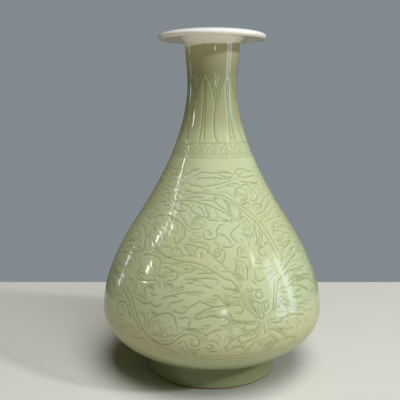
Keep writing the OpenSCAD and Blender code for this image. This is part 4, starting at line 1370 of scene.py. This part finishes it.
# foot: turned wall, rounded standing rim and a flat top that the body sits on
def makeFoot():
    outer, inner = reach("foot_ring"), reach("foot_ring") - footRing["width"]
    bevel, top = footRing["bevel"], vaseLine["seat"]
    turned = np.radians(np.linspace(0, 90, footRing["rimSteps"]))
    innerRim = np.column_stack([inner + bevel * (1 - np.cos(turned)), bevel * (1 - np.sin(turned))])
    outerRim = np.column_stack([outer - bevel * (1 - np.sin(turned)), bevel * (1 - np.cos(turned))])
    wallTop = [[footRing["topRadius"], top + 0.5 * vaseLine["slip"]]]
    wall = softLine(np.vstack([outerRim[-1:], wallTop]), footRing["spacing"], 0)
    wall[1:, 0] += vaseLine["glaze"]
    flat = [[footRing["topRadius"], top], [footRing["topRadius"] - footRing["width"], top]]
    line = np.vstack([innerRim, outerRim, wall[1:], flat])
    # the foot's pool share is the crease's pooled glaze and painted shade, darkest at its top
    rings = plainRings(line, footRing["columns"], creasePoolAndShade(top - line[:, 1]))
    return skinPiece("footGlazed", [rings], [-1, -2, -3])


footPiece = makeFoot()

for piece, node, material, slot in [(lowerBodyPiece, "lower_body", celadonMaterial, "celadon_glaze"),
                                    (upperBodyPiece, "upper_body", celadonMaterial, "celadon_glaze"),
                                    (neckPiece, "neck", whiteMaterial, "celadon_glaze"),
                                    (mouthPiece, "mouth_rim", whiteMaterial, "white_glaze"),
                                    (footPiece, "foot_ring", footMaterial, "celadon_glaze")]:
    piece.data.materials.append(material)
    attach(piece, "root")
    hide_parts(node)
for node in ("foot_seam", "belly_seam", "neck_seam", "mouth_seam"):
    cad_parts[node].data.materials.clear()
    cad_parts[node].data.materials.append(slipMaterial)

# Camera, floor and light
view = {"distance": 579.0, "height": 262.0, "left": 11.6, "pitch": 9.42, "lens": 54.0, "sensor": 36.0}
cameraData = bpy.data.cameras.new("camera")
cameraData.sensor_width = view["sensor"]
cameraData.lens = view["lens"]
camera = bpy.data.objects.new("camera", cameraData)
camera.location = (-view["left"] * mm, -view["distance"] * mm, view["height"] * mm)
camera.rotation_euler = (np.radians(90 - view["pitch"]), 0, 0)
bpy.context.scene.collection.objects.link(camera)
bpy.context.scene.camera = camera
bpy.context.scene.view_settings.view_transform = "Standard"

ground = {
    "reach": 6.0,
    "end": 0.267,  # it ends this far behind the vase
    "seen": tone(216, 216, 208),
    "thrown": tone(204, 202, 190),  # the light that it throws back is warmer and dimmer
    "roughness": 0.9,
}
wide, end = ground["reach"], ground["end"]
corners = [(-wide, -wide, 0), (wide, -wide, 0), (wide, end, 0), (-wide, end, 0)]
floorMesh = bpy.data.meshes.new("floor")
floorMesh.from_pydata(corners, [], [(0, 1, 2, 3)])
floor = bpy.data.objects.new("floor", floorMesh)
bpy.context.scene.collection.objects.link(floor)
floorMaterial, floorStart = startMaterial("paleFloor")
watched = floorStart.node("ShaderNodeLightPath", {}, {}, "Is Camera Ray")
floorColour = floorStart.mix(watched, ground["thrown"], ground["seen"])
endMaterial(floorMaterial, floorStart, {"Base Color": floorColour, "Roughness": ground["roughness"]})
floorMesh.materials.append(floorMaterial)

white, daylight = (1.0, 1.0, 1.0), (0.9, 0.97, 1.0)
blue, warm = (0.64, 0.82, 1.0), (1.0, 0.93, 0.85)
aimHeight = 0.13  # all the lamps face this height of the vase's axis, in metres
lit = ("windowLight", "overheadSoft")  # these light the vase, the others are only mirrored in its glaze
# azimuth, 0 towards the camera and 90 to the right, elevation, distance, width, height, power and colour
lamps = {
    "windowLight": (60, 30, 2.4, 0.2, 0.2, 23, daylight),
    "overheadSoft": (24, 65, 3.2, 1.8, 1.8, 89, white),
    "leftLamp": (-88, 32, 1.6, 0.022, 0.1, 0.34, white),
    "leftNextLamp": (-83.5, 37.5, 1.6, 0.02, 0.07, 0.2, white),
    "leftHighLamp": (-74, 41, 1.6, 0.03, 0.06, 0.18, white),
    "leftLowLamp": (-81, 22, 1.6, 0.1, 0.14, 0.85, warm),
    "leftWindow": (-117, 10, 1.6, 0.09, 0.14, 0.27, blue),
    "leftLowWindow": (-115, 1.5, 1.6, 0.13, 0.14, 0.3, blue),
    "rightLamp": (55, 34, 1.6, 0.08, 0.15, 0.36, warm),
    "rightWindow": (68, 9, 0.75, 0.15, 0.5, 0.85, blue),
    "rightNextWindow": (83, 8, 0.75, 0.12, 0.46, 0.65, blue),
    "frontWindow": (11, 7.5, 1.6, 0.15, 0.1, 0.42, blue),
}


# a soft panel in a direction and at a distance from the point that it faces
def softPanel(name, azimuth, elevation, distance, width, height, power, colour):
    data = bpy.data.lights.new(name, "AREA")
    data.shape = "RECTANGLE"
    data.size, data.size_y, data.energy, data.color = width, height, power, colour
    lamp = bpy.data.objects.new(name, data)
    a, e = np.radians(azimuth), np.radians(elevation)
    away = np.array([np.sin(a) * np.cos(e), -np.cos(a) * np.cos(e), np.sin(e)])
    lamp.location = away * distance + [0, 0, aimHeight]
    lamp.rotation_euler = (np.radians(90 - elevation), 0, a)
    lamp.visible_diffuse = name in lit
    lamp.visible_glossy = name not in lit
    bpy.context.scene.collection.objects.link(lamp)


for name, settings in lamps.items():
    softPanel(name, *settings)

# world: the plain grey wall where it is seen, a dimmer room where it is mirrored and a warm fill elsewhere
roomTones = {"wall": tone(130, 138, 143), "mirrored": tone(84, 87, 82), "fill": tone(62, 58, 42)}
world = bpy.data.worlds.new("studio")
world.use_nodes = True
room = Val(world.node_tree)
room.tree.nodes.clear()
seen = [room.node("ShaderNodeLightPath", {}, {}, ray) for ray in ("Is Camera Ray", "Is Glossy Ray")]
unseen = room.mix(seen[1], roomTones["fill"], roomTones["mirrored"])
roomColour = room.mix(seen[0], unseen, roomTones["wall"])
sky = room.node("ShaderNodeBackground", {}, {"Color": roomColour, "Strength": 1.0})
room.node("ShaderNodeOutputWorld", {}, {"Surface": sky})
bpy.context.scene.world = world
print("camera, floor and light ready")
